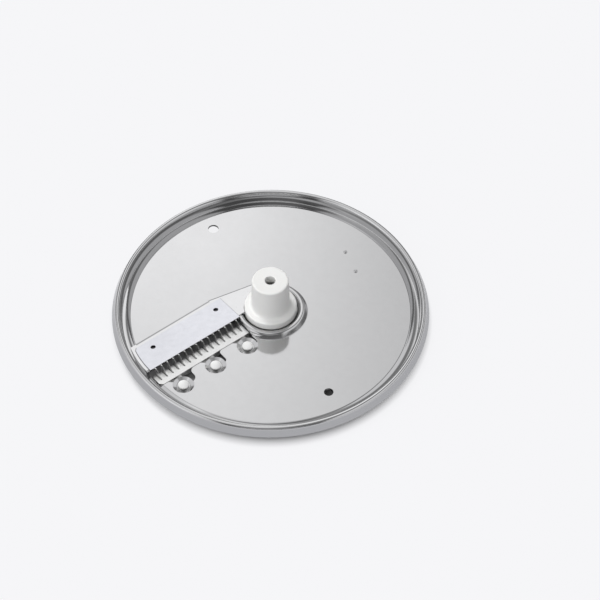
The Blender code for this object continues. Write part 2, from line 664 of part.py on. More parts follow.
def make_fins(blade_line, material):
    """Each fin rises from its tang to a peak at the blade's edge, with its sloping front ground sharp."""
    rear = COMB_REAR - FIT
    toe = COMB_REAR - FIN_LENGTH
    tip = EDGE_Y - FIT
    outline = [
        (toe, 0.0),
        (COMB_REAR, FIN_HEIGHT),
        (tip, FIN_HEIGHT - FIT),
        (tip, FIN_HEIGHT - FIN_GRIND),
        (rear, 0.0),
        (rear, -FIN_TANG),
        (toe, -FIN_TANG),
    ]
    turn = Matrix(((0, 0, 1, 0), (1, 0, 0, 0), (0, 1, 0, 0), (0, 0, 0, 1)))
    slope = Vector((0.0, COMB_REAR - toe, FIN_HEIGHT)).normalized()
    inward = Vector((0.0, slope.z, -slope.y))
    side = FIN_THICKNESS / 2
    for number, x in enumerate(fin_places(), 1):
        fin = prism(f"comb_fin_{number:02d}", blade_line, outline, -side, side)
        fin.data.transform(turn)
        for sign in (-1, 1):
            lean = Vector((sign * FIN_GRIND, 0.0, 0.0)) - inward * (side - FIN_EDGE / 2)
            slice_off(fin, (sign * FIN_EDGE / 2, toe, 0.0), lean.normalized())
        fin.location = (x, 0.0, 0.0)
        dress(fin, material)


def make_rivets(blade_line, material):
    head_low = FIT - DISH_DEPTH
    tail_top = LUG_BOTTOM - FIT
    tail_low = tail_top - RIVET_TAIL
    section = rounded(
        [
            (0.0, tail_low, 0.0, 0),
            (RIVET_TAIL_RADIUS, tail_low, RIVET_TAIL / 2, 2),
            (RIVET_TAIL_RADIUS, tail_top, 0.0, 0),
            (RIVET_SHANK_RADIUS, tail_top, 0.0, 0),
            (RIVET_SHANK_RADIUS, head_low, 0.0, 0),
            (RIVET_HEAD_RADIUS, head_low, 0.0, 0),
            (RIVET_HEAD_RADIUS, head_low + RIVET_HEAD, FIT / 2, 1),
            (0.0, head_low + RIVET_HEAD, 0.0, 0),
        ]
    )
    for number, at in enumerate(rivet_places(), 1):
        dress(turned(f"comb_rivet_{number}", blade_line, section, SMALL_SEGMENTS, at), material)


def empty(name, parent, location, rotation=(0.0, 0.0, 0.0)):
    frame = bpy.data.objects.new(name, None)
    frame.parent = parent
    frame.location = location
    frame.rotation_euler = rotation
    bpy.context.scene.collection.objects.link(frame)
    return frame


def main():
    for obj in list(bpy.data.objects):
        bpy.data.objects.remove(obj)

    pressed_steel = principled("pressed_steel", (0.66, 0.67, 0.68), 0.22, 1.0)
    blade_steel = principled("blade_steel", (0.72, 0.73, 0.76), 0.16, 1.0)
    comb_steel = principled("comb_steel", (0.74, 0.74, 0.73), 0.3, 1.0)
    fastener_steel = principled("fastener_steel", (0.7, 0.7, 0.7), 0.3, 1.0)
    ivory_plastic = principled("ivory_plastic", (0.85, 0.85, 0.83), 0.4, 0.0)

    disc_axis = empty("disc_axis", None, (0.0, 0.0, FLAT_HEIGHT))
    blade_line = empty("blade_line", disc_axis, (0.0, 0.0, 0.0), (0.0, 0.0, BLADE_ANGLE))
    blade_seat = empty("blade_seat", blade_line, (0.0, CREASE_OFFSET, 0.0), (-SEAT_SLOPE, 0.0, 0.0))

    make_plate(disc_axis, blade_line, blade_seat, pressed_steel)
    make_hub(disc_axis, ivory_plastic)
    make_hub_base(disc_axis, ivory_plastic)
    make_hub_screws(disc_axis, fastener_steel)
    make_blade(blade_seat, blade_steel)
    make_blade_screws(blade_seat, fastener_steel)
    make_comb_strip(blade_line, comb_steel)
    make_fins(blade_line, comb_steel)
    make_rivets(blade_line, fastener_steel)


main()
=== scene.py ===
"""Looks of a food processor's shredding disc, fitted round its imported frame.

Everything is in metres in the frame's own axes: +Z up the disc's axis, the blade on the -X side, and the
origin at the bottom of the hub base. Sizes are those of the solids, with finer rounds.
"""

import logging
from dataclasses import dataclass
from enum import Enum
from math import asin, atan2, cos, pi, radians, sin, sqrt, tan

import bmesh
import bpy
from mathutils import Matrix, Vector


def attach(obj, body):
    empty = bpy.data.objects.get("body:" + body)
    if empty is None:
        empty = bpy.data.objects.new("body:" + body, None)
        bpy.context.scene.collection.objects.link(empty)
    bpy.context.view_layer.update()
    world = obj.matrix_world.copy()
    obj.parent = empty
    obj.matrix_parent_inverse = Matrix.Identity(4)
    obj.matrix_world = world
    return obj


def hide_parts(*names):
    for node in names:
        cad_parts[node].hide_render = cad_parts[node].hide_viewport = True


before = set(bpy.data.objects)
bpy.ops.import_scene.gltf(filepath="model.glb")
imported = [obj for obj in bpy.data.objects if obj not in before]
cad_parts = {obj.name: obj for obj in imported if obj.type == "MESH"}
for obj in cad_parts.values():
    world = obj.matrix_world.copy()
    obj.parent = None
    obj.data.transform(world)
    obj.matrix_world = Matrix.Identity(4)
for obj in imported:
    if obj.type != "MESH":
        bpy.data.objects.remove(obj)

LOG = logging.getLogger("shredding_disc")

MM = 0.001
FULL_TURN = 2.0 * pi

# Stands a drawing up: its own x runs across, its y up, and its height forwards
STAND = Matrix(((0, 0, 1, 0), (1, 0, 0, 0), (0, 1, 0, 0), (0, 0, 0, 1)))
ROOT_BODY = "root"

Point = tuple[float, float]
Outline = list[Point]
Corner = tuple[float, ...]
Colour = tuple[float, float, float]
Axis = tuple[float, float, float]
Obj = bpy.types.Object
Node = bpy.types.Node
Socket = bpy.types.NodeSocket


# Drawing


def arc(radius: float, start: float, end: float, steps: int, centre: Point = (0.0, 0.0)) -> Outline:
    """Points along an arc.

    Args:
        radius: the arc's radius.
        start: its first angle.
        end: its last angle.
        steps: how many chords it is made of.
        centre: its centre.

    Returns:
        The points, both ends included.
    """
    angles = [start + (end - start) * i / steps for i in range(steps + 1)]
    return [(centre[0] + radius * cos(a), centre[1] + radius * sin(a)) for a in angles]


def rounded(corners: list[Corner]) -> Outline:
    """Turns each corner of a path into an arc.

    Args:
        corners: each corner's x and y, and where it is round, its radius and number of chords.

    Returns:
        The points of the path.
    """
    points: Outline = []
    for i, (x, y, *curve) in enumerate(corners):
        if not curve:
            points.append((x, y))
            continue
        radius, steps = curve
        corner = Vector((x, y))
        back = (Vector(corners[i - 1][:2]) - corner).normalized()
        ahead = (Vector(corners[i + 1][:2]) - corner).normalized()
        half = back.angle(ahead) / 2
        centre = corner + (back + ahead).normalized() * radius / sin(half)
        first = corner + back * radius / tan(half) - centre
        turn = first.angle_signed(corner + ahead * radius / tan(half) - centre)
        for step in range(steps + 1):
            points.append(tuple(centre + Matrix.Rotation(-turn * step / steps, 2) @ first))
    return points


def sheet_section(path: Outline, thickness: float) -> Outline:
    """The closed section of a sheet.

    Args:
        path: the middle of the sheet.
        thickness: the sheet's thickness.

    Returns:
        The section's points, along the upper side and back along the lower one.
    """
    points = [Vector(point) for point in path]
    upper: Outline = []
    lower: Outline = []
    for i, point in enumerate(points):
        before = (point - points[max(i - 1, 0)]).normalized()
        after = (points[min(i + 1, len(points) - 1)] - point).normalized()
        along = (before + after).normalized()
        across = Vector((-along.y, along.x))
        reach = thickness / 2 / max(abs(along.dot(after)), abs(along.dot(before)))
        upper.append(tuple(point + across * reach))
        lower.append(tuple(point - across * reach))
    return upper + lower[::-1]


def circle_x(radius: float, y: float) -> float:
    """Where the circle round the disc's axis crosses this y, on the blade's side."""
    return -sqrt(radius**2 - y**2)


def side_arc(radius: float, y_from: float, y_to: float, steps: int) -> Outline:
    """The arc round the disc's axis between two values of y, on the blade's side."""
    return arc(radius, pi - asin(y_from / radius), pi - asin(y_to / radius), steps)


# Node trees


class NodeTree:
    """A node tree that is built a node at a time."""

    def __init__(self, tree: bpy.types.NodeTree) -> None:
        """Takes the tree that the nodes go into."""
        self.tree = tree
        self.nodes = tree.nodes
        self.links = tree.links

    def add(self, kind: str, inputs: dict[str | int, object] | None = None, **settings: object) -> Node:
        """Adds a node.

        Args:
            kind: the node's type.
            inputs: a value, or a socket to link from, for each of its inputs.
            **settings: the node's own properties.

        Returns:
            The node.
        """
        node = self.nodes.new(kind)
        for name, value in settings.items():
            setattr(node, name, value)
        for key, value in (inputs or {}).items():
            if isinstance(value, Socket):
                self.links.new(value, node.inputs[key])
            else:
                node.inputs[key].default_value = value
        return node

    def math(self, operation: str, first: object, *others: object) -> Socket:
        """The result of Math nodes that take up the other terms one by one."""
        for other in others or (0.0,):
            first = self.add("ShaderNodeMath", {0: first, 1: other}, operation=operation).outputs[0]
        return first

    def spread(self, value: Socket, low: float, high: float, least: float = 0.0, most: float = 1.0) -> Socket:
        """Maps a value from one range to another, clamped."""
        inputs = {"Value": value, "From Min": low, "From Max": high, "To Min": least, "To Max": most}
        return self.add("ShaderNodeMapRange", inputs).outputs[0]


class GeometryTree(NodeTree):
    """A Geometry Nodes tree with named inputs, run once on an object and then taken off it."""

    def __init__(self, name: str) -> None:
        """Starts a tree with a geometry and a material input."""
        super().__init__(bpy.data.node_groups.new(name, "GeometryNodeTree"))
        for side in ("INPUT", "OUTPUT"):
            self.tree.interface.new_socket("Geometry", in_out=side, socket_type="NodeSocketGeometry")
        self.source = self.nodes.new("NodeGroupInput")
        self.sink = self.nodes.new("NodeGroupOutput")
        self.add_input("Material", "NodeSocketMaterial")

    def add_input(self, name: str, kind: str) -> Socket:
        """Adds a named input and returns the socket that gives its value."""
        self.tree.interface.new_socket(name, in_out="INPUT", socket_type=kind)
        return self.source.outputs[name]

    def close(self, geometry: Socket) -> None:
        """Ends the tree in Realize Instances and Set Material."""
        real = self.add("GeometryNodeRealizeInstances", {0: geometry}).outputs[0]
        inputs = {"Geometry": real, "Material": self.source.outputs["Material"]}
        dressed = self.add("GeometryNodeSetMaterial", inputs).outputs[0]
        self.links.new(dressed, self.sink.inputs[0])

    def run(self, obj: Obj, values: dict[str, object]) -> None:
        """Replaces the object's mesh by the tree's result.

        Args:
            obj: the object that carries the tree's input mesh.
            values: the value of each named input.
        """
        modifier = obj.modifiers.new(self.tree.name, "NODES")
        modifier.node_group = self.tree
        sockets = [item for item in self.tree.interface.items_tree if item.in_out == "INPUT"]
        identifiers = {item.name: item.identifier for item in sockets}
        for name, value in values.items():
            modifier[identifiers[name]] = value
        apply_modifiers(obj)


def apply_modifiers(obj: Obj) -> None:
    """Turns what an object's modifiers make into its plain mesh, and takes them off."""
    bpy.context.view_layer.update()
    mesh = bpy.data.meshes.new_from_object(obj.evaluated_get(bpy.context.evaluated_depsgraph_get()))
    obj.modifiers.clear()
    obj.data = mesh


def turned_tree() -> GeometryTree:
    """The tree that turns a section, drawn as a line of edges in the XZ plane, about the Z axis."""
    tree = GeometryTree("turned_form")
    section = tree.source.outputs["Geometry"]
    segments = tree.add_input("Segments", "NodeSocketInt")
    count = tree.add("GeometryNodeAttributeDomainSize", {0: section}).outputs["Point Count"]
    rows = tree.math("ADD", segments, 1.0)
    grid = tree.add("GeometryNodeMeshGrid", {"Vertices X": count, "Vertices Y": rows}).outputs["Mesh"]
    index = tree.add("GeometryNodeInputIndex").outputs[0]
    place = tree.math("FLOOR", tree.math("DIVIDE", tree.math("ADD", index, 0.5), rows))
    row = tree.math("SUBTRACT", index, tree.math("MULTIPLY", place, rows))
    position = tree.add("GeometryNodeInputPosition").outputs[0]
    sample = tree.add("GeometryNodeSampleIndex", {"Geometry": section}, data_type="FLOAT_VECTOR")
    tree.links.new(position, next(s for s in sample.inputs if s.name == "Value" and s.enabled))
    tree.links.new(place, sample.inputs["Index"])
    value = next(s for s in sample.outputs if s.enabled)
    angle = tree.math("DIVIDE", tree.math("MULTIPLY", row, FULL_TURN), segments)
    inputs = {"Vector": value, "Angle": angle}
    spun = tree.add("ShaderNodeVectorRotate", inputs, rotation_type="Z_AXIS").outputs[0]
    moved = tree.add("GeometryNodeSetPosition", {"Geometry": grid, "Position": spun}).outputs[0]
    merged = tree.add("GeometryNodeMergeByDistance", {"Geometry": moved, "Distance": 0.001 * MM}).outputs[0]
    tree.close(merged)
    return tree


def row_tree() -> GeometryTree:
    """The tree that sets copies of a piece along a line, each turned by a small random sway."""
    tree = GeometryTree("row_of_copies")
    copy = tree.source.outputs["Geometry"]
    count = tree.add_input("Count", "NodeSocketInt")
    start = tree.add_input("Start", "NodeSocketVector")
    step = tree.add_input("Step", "NodeSocketVector")
    sway = tree.add_input("Sway", "NodeSocketVector")
    seed = tree.add_input("Seed", "NodeSocketInt")
    inputs = {"Count": count, "Start Location": start, "Offset": step}
    line = tree.add("GeometryNodeMeshLine", inputs).outputs[0]
    least = tree.add("ShaderNodeVectorMath", {0: sway, "Scale": -1.0}, operation="SCALE").outputs[0]
    random = tree.add("FunctionNodeRandomValue", {0: least, 1: sway, "Seed": seed}, data_type="FLOAT_VECTOR")
    turn = tree.add("FunctionNodeEulerToRotation", {0: random.outputs[0]}).outputs[0]
    copies = tree.add("GeometryNodeInstanceOnPoints", {"Points": line, "Instance": copy, "Rotation": turn})
    tree.close(copies.outputs[0])
    return tree


def ring_tree() -> GeometryTree:
    """The tree that sets copies of a piece on a circle round the Z axis."""
    tree = GeometryTree("ring_of_copies")
    copy = tree.source.outputs["Geometry"]
    count = tree.add_input("Count", "NodeSocketInt")
    radius = tree.add_input("Radius", "NodeSocketFloat")
    first = tree.add_input("First angle", "NodeSocketVector")
    circle = tree.add("GeometryNodeMeshCircle", {"Vertices": count, "Radius": radius}).outputs[0]
    turned = tree.add("GeometryNodeTransform", {"Geometry": circle, "Rotation": first}).outputs[0]
    copies = tree.add("GeometryNodeInstanceOnPoints", {"Points": turned, "Instance": copy})
    tree.close(copies.outputs[0])
    return tree


# Solid work


def link_new(name: str, mesh: bpy.types.Mesh) -> Obj:
    """A new object of the scene with this mesh."""
    obj = bpy.data.objects.new(name, mesh)
    bpy.context.scene.collection.objects.link(obj)
    return obj


def settle(bm: bmesh.types.BMesh) -> None:
    """Puts a mesh in an order that its places alone decide.

    Booleans and cuts order their result anew in each run, and later steps follow that order.

    Args:
        bm: the mesh.
    """
    verts = sorted((vert for vert in bm.verts if vert.link_faces), key=lambda vert: tuple(vert.co))
    number = {vert: i for i, vert in enumerate(verts)}
    places = [tuple(vert.co) for vert in verts]
    rings = []
    for face in bm.faces:
        ring = [number[vert] for vert in face.verts]
        first = ring.index(min(ring))
        rings.append(ring[first:] + ring[:first])
    bm.clear()
    corners = [bm.verts.new(place) for place in places]
    for ring in sorted(rings):
        bm.faces.new([corners[i] for i in ring])


class Bench:
    """Makes solids from outlines and sections, cuts and joins them, and finishes them."""

    def __init__(self) -> None:
        """Builds the trees that the pieces share."""
        self.turning = turned_tree()
        self.row = row_tree()
        self.ring = ring_tree()
        self.weld = 0.002 * MM

    def take(self, bm: bmesh.types.BMesh, name: str, place: Matrix) -> Obj:
        """Makes a mesh object from a bmesh, with its place in its mesh and its faces pointing out."""
        bm.transform(place)
        bmesh.ops.recalc_face_normals(bm, faces=bm.faces)
        if bm.calc_volume(signed=True) < 0:
            bmesh.ops.reverse_faces(bm, faces=bm.faces)
        mesh = bpy.data.meshes.new(name)
        bm.to_mesh(mesh)
        bm.free()
        return link_new(name, mesh)

    def prism(self, name: str, outline: Outline, low: float, high: float, place: Matrix) -> Obj:
        """Extrudes an outline in plan from one height to the other."""
        bm = bmesh.new()
        face = bm.faces.new([bm.verts.new((x, y, low)) for x, y in outline])
        raised = bmesh.ops.extrude_face_region(bm, geom=[face])["geom"]
        moved = [item for item in raised if isinstance(item, bmesh.types.BMVert)]
        bmesh.ops.translate(bm, verts=moved, vec=(0.0, 0.0, high - low))
        return self.take(bm, name, place)

    def drum(self, at: Point, radius: float, low: float, high: float, place: Matrix, segments: int) -> Obj:
        """A plain cylinder, for holes."""
        outline = arc(radius, 0.0, FULL_TURN * (1 - 1 / segments), segments - 1, at)
        return self.prism("drum", outline, low, high, place)

    def turn(
        self, name: str, section: list[Corner], segments: int, place: Matrix, at: Point = (0.0, 0.0)
    ) -> Obj:
        """Turns a closed section about the vertical through a place.

        Args:
            name: the object's name.
            section: its corners, each a radius and a height, in order round the section.
            segments: how many flats go round.
            place: the frame that the piece is drawn in.
            at: where its axis stands in that frame.

        Returns:
            The turned solid.
        """
        mesh = bpy.data.meshes.new(name)
        points = rounded(section)
        points.append(points[0])
        edges = [(i, i + 1) for i in range(len(points) - 1)]
        mesh.from_pydata([(radius, 0.0, height) for radius, height in points], edges, [])
        obj = link_new(name, mesh)
        self.turning.run(obj, {"Segments": segments})
        bm = bmesh.new()
        bm.from_mesh(obj.data)
        bpy.data.objects.remove(obj)
        bmesh.ops.remove_doubles(bm, verts=bm.verts, dist=self.weld)
        bmesh.ops.delete(bm, geom=[edge for edge in bm.edges if not edge.link_faces], context="EDGES")
        return self.take(bm, name, place @ Matrix.Translation((at[0], at[1], 0.0)))

    def combine(self, target: Obj, tools: list[Obj], operation: str) -> None:
        """Joins each tool to the target, or cuts it away, and removes it."""
        for tool in tools:
            modifier = target.modifiers.new(operation.lower(), "BOOLEAN")
            modifier.operation = operation
            modifier.object = tool
            bpy.context.view_layer.update()
            bm = bmesh.new()
            bm.from_object(target, bpy.context.evaluated_depsgraph_get())
            settle(bm)
            bmesh.ops.remove_doubles(bm, verts=bm.verts, dist=self.weld)
            bmesh.ops.dissolve_degenerate(bm, edges=bm.edges, dist=self.weld)
            target.modifiers.clear()
            bm.to_mesh(target.data)
            bm.free()
            bpy.data.objects.remove(tool)

    def slice_off(self, obj: Obj, point: Vector, normal: Vector) -> None:
        """Cuts away all that lies beyond a plane and closes the cut."""
        bm = bmesh.new()
        bm.from_mesh(obj.data)
        geometry = bm.verts[:] + bm.edges[:] + bm.faces[:]
        cut = bmesh.ops.bisect_plane(bm, geom=geometry, plane_co=point, plane_no=normal, clear_outer=True)
        rim = [item for item in cut["geom_cut"] if isinstance(item, bmesh.types.BMEdge)]
        bmesh.ops.holes_fill(bm, edges=rim, sides=0)
        bmesh.ops.recalc_face_normals(bm, faces=bm.faces)
        settle(bm)
        bm.to_mesh(obj.data)
        bm.free()

    def soften(self, obj: Obj, width: float, steps: int = 2, sharp: float = 35.0) -> None:
        """Rounds the sharp edges and weights the normals to the large faces.

        Args:
            obj: the finished solid.
            width: the width of the rounds, or 0 for none.
            steps: how many faces make a round.
            sharp: the angle in degrees from which an edge counts as sharp.
        """
        if width:
            bevel = obj.modifiers.new("broken_edges", "BEVEL")
            bevel.width = width
            bevel.segments = steps
            bevel.limit_method = "ANGLE"
            bevel.angle_limit = radians(sharp)
            bevel.harden_normals = False
        obj.data.shade_smooth()
        obj.data.set_sharp_from_angle(angle=radians(sharp))
        normals = obj.modifiers.new("weighted_normals", "WEIGHTED_NORMAL")
        normals.keep_sharp = True
        normals.weight = 100
        apply_modifiers(obj)

    def set_row(
        self, piece: Obj, count: int, first: Point, step: float, place: Matrix, **inputs: object
    ) -> None:
        """Sets copies of a piece in a row.

        Args:
            piece: the piece, which becomes the whole row.
            count: how many there are.
            first: where the first one stands.
            step: from one to the next, along the frame's x.
            place: the frame that the row lies in.
            **inputs: the tree's other inputs.
        """
        self.row.run(piece, {"Count": count, "Start": (*first, 0.0), "Step": (step, 0.0, 0.0), **inputs})
        piece.data.transform(place)

    def refined(self, node: str, name: str, width: float) -> Obj:
        """A copy of a frame node with its flats merged and its edges broken.

        Args:
            node: the node that is copied.
            name: the new piece's name.
            width: the width of the broken edges.

        Returns:
            The copy.
        """
        bm = bmesh.new()
        bm.from_mesh(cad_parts[node].data)
        bmesh.ops.remove_doubles(bm, verts=bm.verts, dist=self.weld)
        bmesh.ops.dissolve_limit(bm, angle_limit=radians(0.5), verts=bm.verts, edges=bm.edges)
        obj = self.take(bm, name, Matrix.Identity(4))
        self.soften(obj, width)
        return obj


# Finishes


class Grain(Enum):
    """How the fine lines of a steel surface run."""

    TURNED = "circles round the disc's axis"
    GROUND = "straight across the blade"
    SATIN = "short strokes along the blade"


class ShaderTree(NodeTree):
    """A material's node tree, built round a Principled shader."""

    def __init__(self, name: str) -> None:
        """Starts a material with its shader and its Object coordinates."""
        self.material = bpy.data.materials.new(name)
        self.material.use_nodes = True
        super().__init__(self.material.node_tree)
        self.shader = self.nodes["Principled BSDF"]
        self.place = self.add("ShaderNodeTexCoord").outputs["Object"]

    def axis_radius(self) -> Socket:
        """The distance from the disc's axis."""
        axes = self.add("ShaderNodeSeparateXYZ", {0: self.place}).outputs
        flat = self.add("ShaderNodeCombineXYZ", {0: axes[0], 1: axes[1]}).outputs[0]
        return self.add("ShaderNodeVectorMath", {0: flat}, operation="LENGTH").outputs["Value"]

    def noise(self, vector: Socket, scale: float, detail: float = 2.0) -> Socket:
        """A noise pattern's value, about 0.3 to 0.7."""
        return self.add("ShaderNodeTexNoise", {"Vector": vector, "Scale": scale, "Detail": detail}).outputs[0]

    def tint(self, factor: Socket, first: Colour, second: Colour) -> Socket:
        """Mixes two colours by a factor."""
        mix = self.add("ShaderNodeMix", {0: factor}, data_type="RGBA")
        mix.inputs[6].default_value = (*first, 1.0)
        mix.inputs[7].default_value = (*second, 1.0)
        return mix.outputs[2]

    def set(self, name: str, value: object) -> None:
        """Sets or links one of the shader's inputs."""
        if isinstance(value, Socket):
            self.links.new(value, self.shader.inputs[name])
        else:
            self.shader.inputs[name].default_value = value

    def relief(self, height: Socket, strength: float, distance: float) -> None:
        """Puts a bump on the surface."""
        bump = self.add("ShaderNodeBump", {"Height": height, "Strength": strength, "Distance": distance})
        self.links.new(bump.outputs[0], self.shader.inputs["Normal"])


@dataclass(frozen=True)
class SteelFinish:
    """Bare stainless steel.

    Attributes:
        name: the material's name.
        colour: its colour where it is clean.
        dull: its colour where it shows wear or haze.
        polish: its lowest roughness.
        haze: how much rougher the hazy places are.
        grain: how its fine lines run.
        pitch: the spacing of the lines.
        depth: how deep the lines look.
        lie: the angle that the lines are counted from, about Z.
        skirt_shade_radius: where the painted shade on the rim's outside begins, or 0 for none.
        skirt: the colour of that painted shade.
        skirt_shade_fade: how wide the change to it is.
        smear_scale: the scale of the hazy places.
        wear_scale: the scale of the places that show wear.
        turns: how fast turned lines change round the axis.
        relief: the height of the lines.
    """

    name: str
    colour: Colour
    dull: Colour
    polish: float
    haze: float
    grain: Grain
    pitch: float
    depth: float
    lie: float = 0.0
    skirt_shade_radius: float = 0.0
    skirt: Colour = (0.42, 0.423, 0.432)
    skirt_shade_fade: float = 0.5 * MM
    smear_scale: float = 34.0
    wear_scale: float = 260.0
    turns: float = 1.5
    relief: float = 0.02 * MM

    def lines(self, tree: ShaderTree) -> Socket:
        """The coordinate that the lines are drawn in."""
        if self.grain is Grain.TURNED:
            axes = tree.add("ShaderNodeSeparateXYZ", {0: tree.place}).outputs
            angle = tree.math("ARCTAN2", axes[1], axes[0])
            inputs = {
                0: tree.math("DIVIDE", tree.axis_radius(), self.pitch),
                1: tree.math("MULTIPLY", angle, self.turns),
                2: tree.math("DIVIDE", axes[2], self.pitch),
            }
            return tree.add("ShaderNodeCombineXYZ", inputs).outputs[0]
        inputs = {"Vector": tree.place, "Rotation": (0.0, 0.0, -self.lie)}
        turned = tree.add("ShaderNodeMapping", inputs).outputs[0]
        long_ground, long_satin = 60.0 * self.pitch, 14.0 * self.pitch
        ground = self.grain is Grain.GROUND
        across, along = (self.pitch, long_ground) if ground else (long_satin, self.pitch)
        scale = (1.0 / across, 1.0 / along, 1.0 / self.pitch)
        return tree.add("ShaderNodeVectorMath", {0: turned, 1: scale}, operation="MULTIPLY").outputs[0]

    def build(self) -> bpy.types.Material:
        """Builds the material."""
        tree = ShaderTree(self.name)
        grain = tree.noise(self.lines(tree), 1.0, 3.0)
        smear = tree.noise(tree.place, self.smear_scale, 4.0)
        wear = tree.noise(tree.place, self.wear_scale, 3.0)
        hazy = tree.spread(smear, 0.42, 0.68)
        rough = tree.math("ADD", *[tree.math("MULTIPLY", part, self.haze) for part in (grain, hazy)])
        colour = tree.tint(tree.spread(wear, 0.35, 0.7), self.colour, self.dull)
        # Painted shade: past skirt_shade_radius the colour fades over skirt_shade_fade to the darker skirt
        # colour on the rim's outside.
        if self.skirt_shade_radius:
            radius = tree.axis_radius()
            outside = tree.spread(radius, self.skirt_shade_radius, self.skirt_shade_radius + self.skirt_shade_fade)
            inputs = {0: outside, 6: colour, 7: (*self.skirt, 1.0)}
            colour = tree.add("ShaderNodeMix", inputs, data_type="RGBA").outputs[2]
        tree.set("Base Color", colour)
        tree.set("Roughness", tree.math("ADD", rough, self.polish))
        tree.set("Metallic", 1.0)
        tree.relief(grain, self.depth, self.relief)
        return tree.material


@dataclass(frozen=True)
class MouldedFinish:
    """Smooth moulded plastic.

    Attributes:
        name: the material's name.
        colour: the clean colour.
        aged: the colour where it has greyed a little.
        gloss: its lowest roughness.
        skin: the size of the mould's texture.
    """

    name: str
    colour: Colour
    aged: Colour
    gloss: float
    skin: float

    def build(self) -> bpy.types.Material:
        """Builds the material."""
        tree = ShaderTree(self.name)
        cloud = tree.noise(tree.place, 60.0, 3.0)
        skin = tree.noise(tree.place, 1.0 / self.skin, 2.0)
        tree.set("Base Color", tree.tint(tree.spread(cloud, 0.35, 0.7), self.colour, self.aged))
        tree.set("Roughness", tree.spread(skin, 0.3, 0.7, self.gloss, self.gloss + 0.12))
        tree.set("Subsurface Weight", 0.06)
        tree.shader.inputs["Subsurface Radius"].default_value = (1.0, 0.9, 0.8)
        tree.set("Subsurface Scale", 0.8 * MM)
        tree.relief(skin, 0.06, 0.03 * MM)
        return tree.material


class Finishes:
    """The materials of the whole disc."""

    def __init__(self, blade_angle: float) -> None:
        """Builds them, with the blade's lines laid at the blade's angle."""
        # The pressed steel carries painted shade on the rim's outside, from skirt_shade_radius on.
        bare = SteelFinish(
            "pressed_steel", (0.57, 0.57, 0.572), (0.56, 0.56, 0.562), 0.05, 0.035, Grain.TURNED,
            0.25 * MM, 0.02, skirt_shade_radius=85.5 * MM,
        )
        ground = SteelFinish(
            "ground_blade", (0.56, 0.565, 0.595), (0.53, 0.535, 0.565), 0.10, 0.07, Grain.GROUND,
            0.12 * MM, 0.05, blade_angle,
        )
        satin = SteelFinish(
            "satin_bar", (0.80, 0.80, 0.79), (0.75, 0.75, 0.74), 0.22, 0.1, Grain.SATIN,
            0.15 * MM, 0.1, blade_angle,
        )
        button = SteelFinish(
            "satin_button", (0.88, 0.88, 0.87), (0.83, 0.83, 0.82), 0.25, 0.1, Grain.SATIN,
            0.2 * MM, 0.1, blade_angle,
        )
        dark = SteelFinish(
            "dark_screw", (0.13, 0.13, 0.135), (0.06, 0.06, 0.062), 0.35, 0.1, Grain.TURNED,
            0.2 * MM, 0.1,
        )
        plastic = MouldedFinish("ivory_plastic", (0.86, 0.86, 0.845), (0.82, 0.82, 0.80), 0.32, 0.35 * MM)
        self.pressed = bare.build()
        self.ground = ground.build()
        self.satin = satin.build()
        self.button = button.build()
        self.dark = dark.build()
        self.plastic = plastic.build()


# Sizes that more than one piece shares


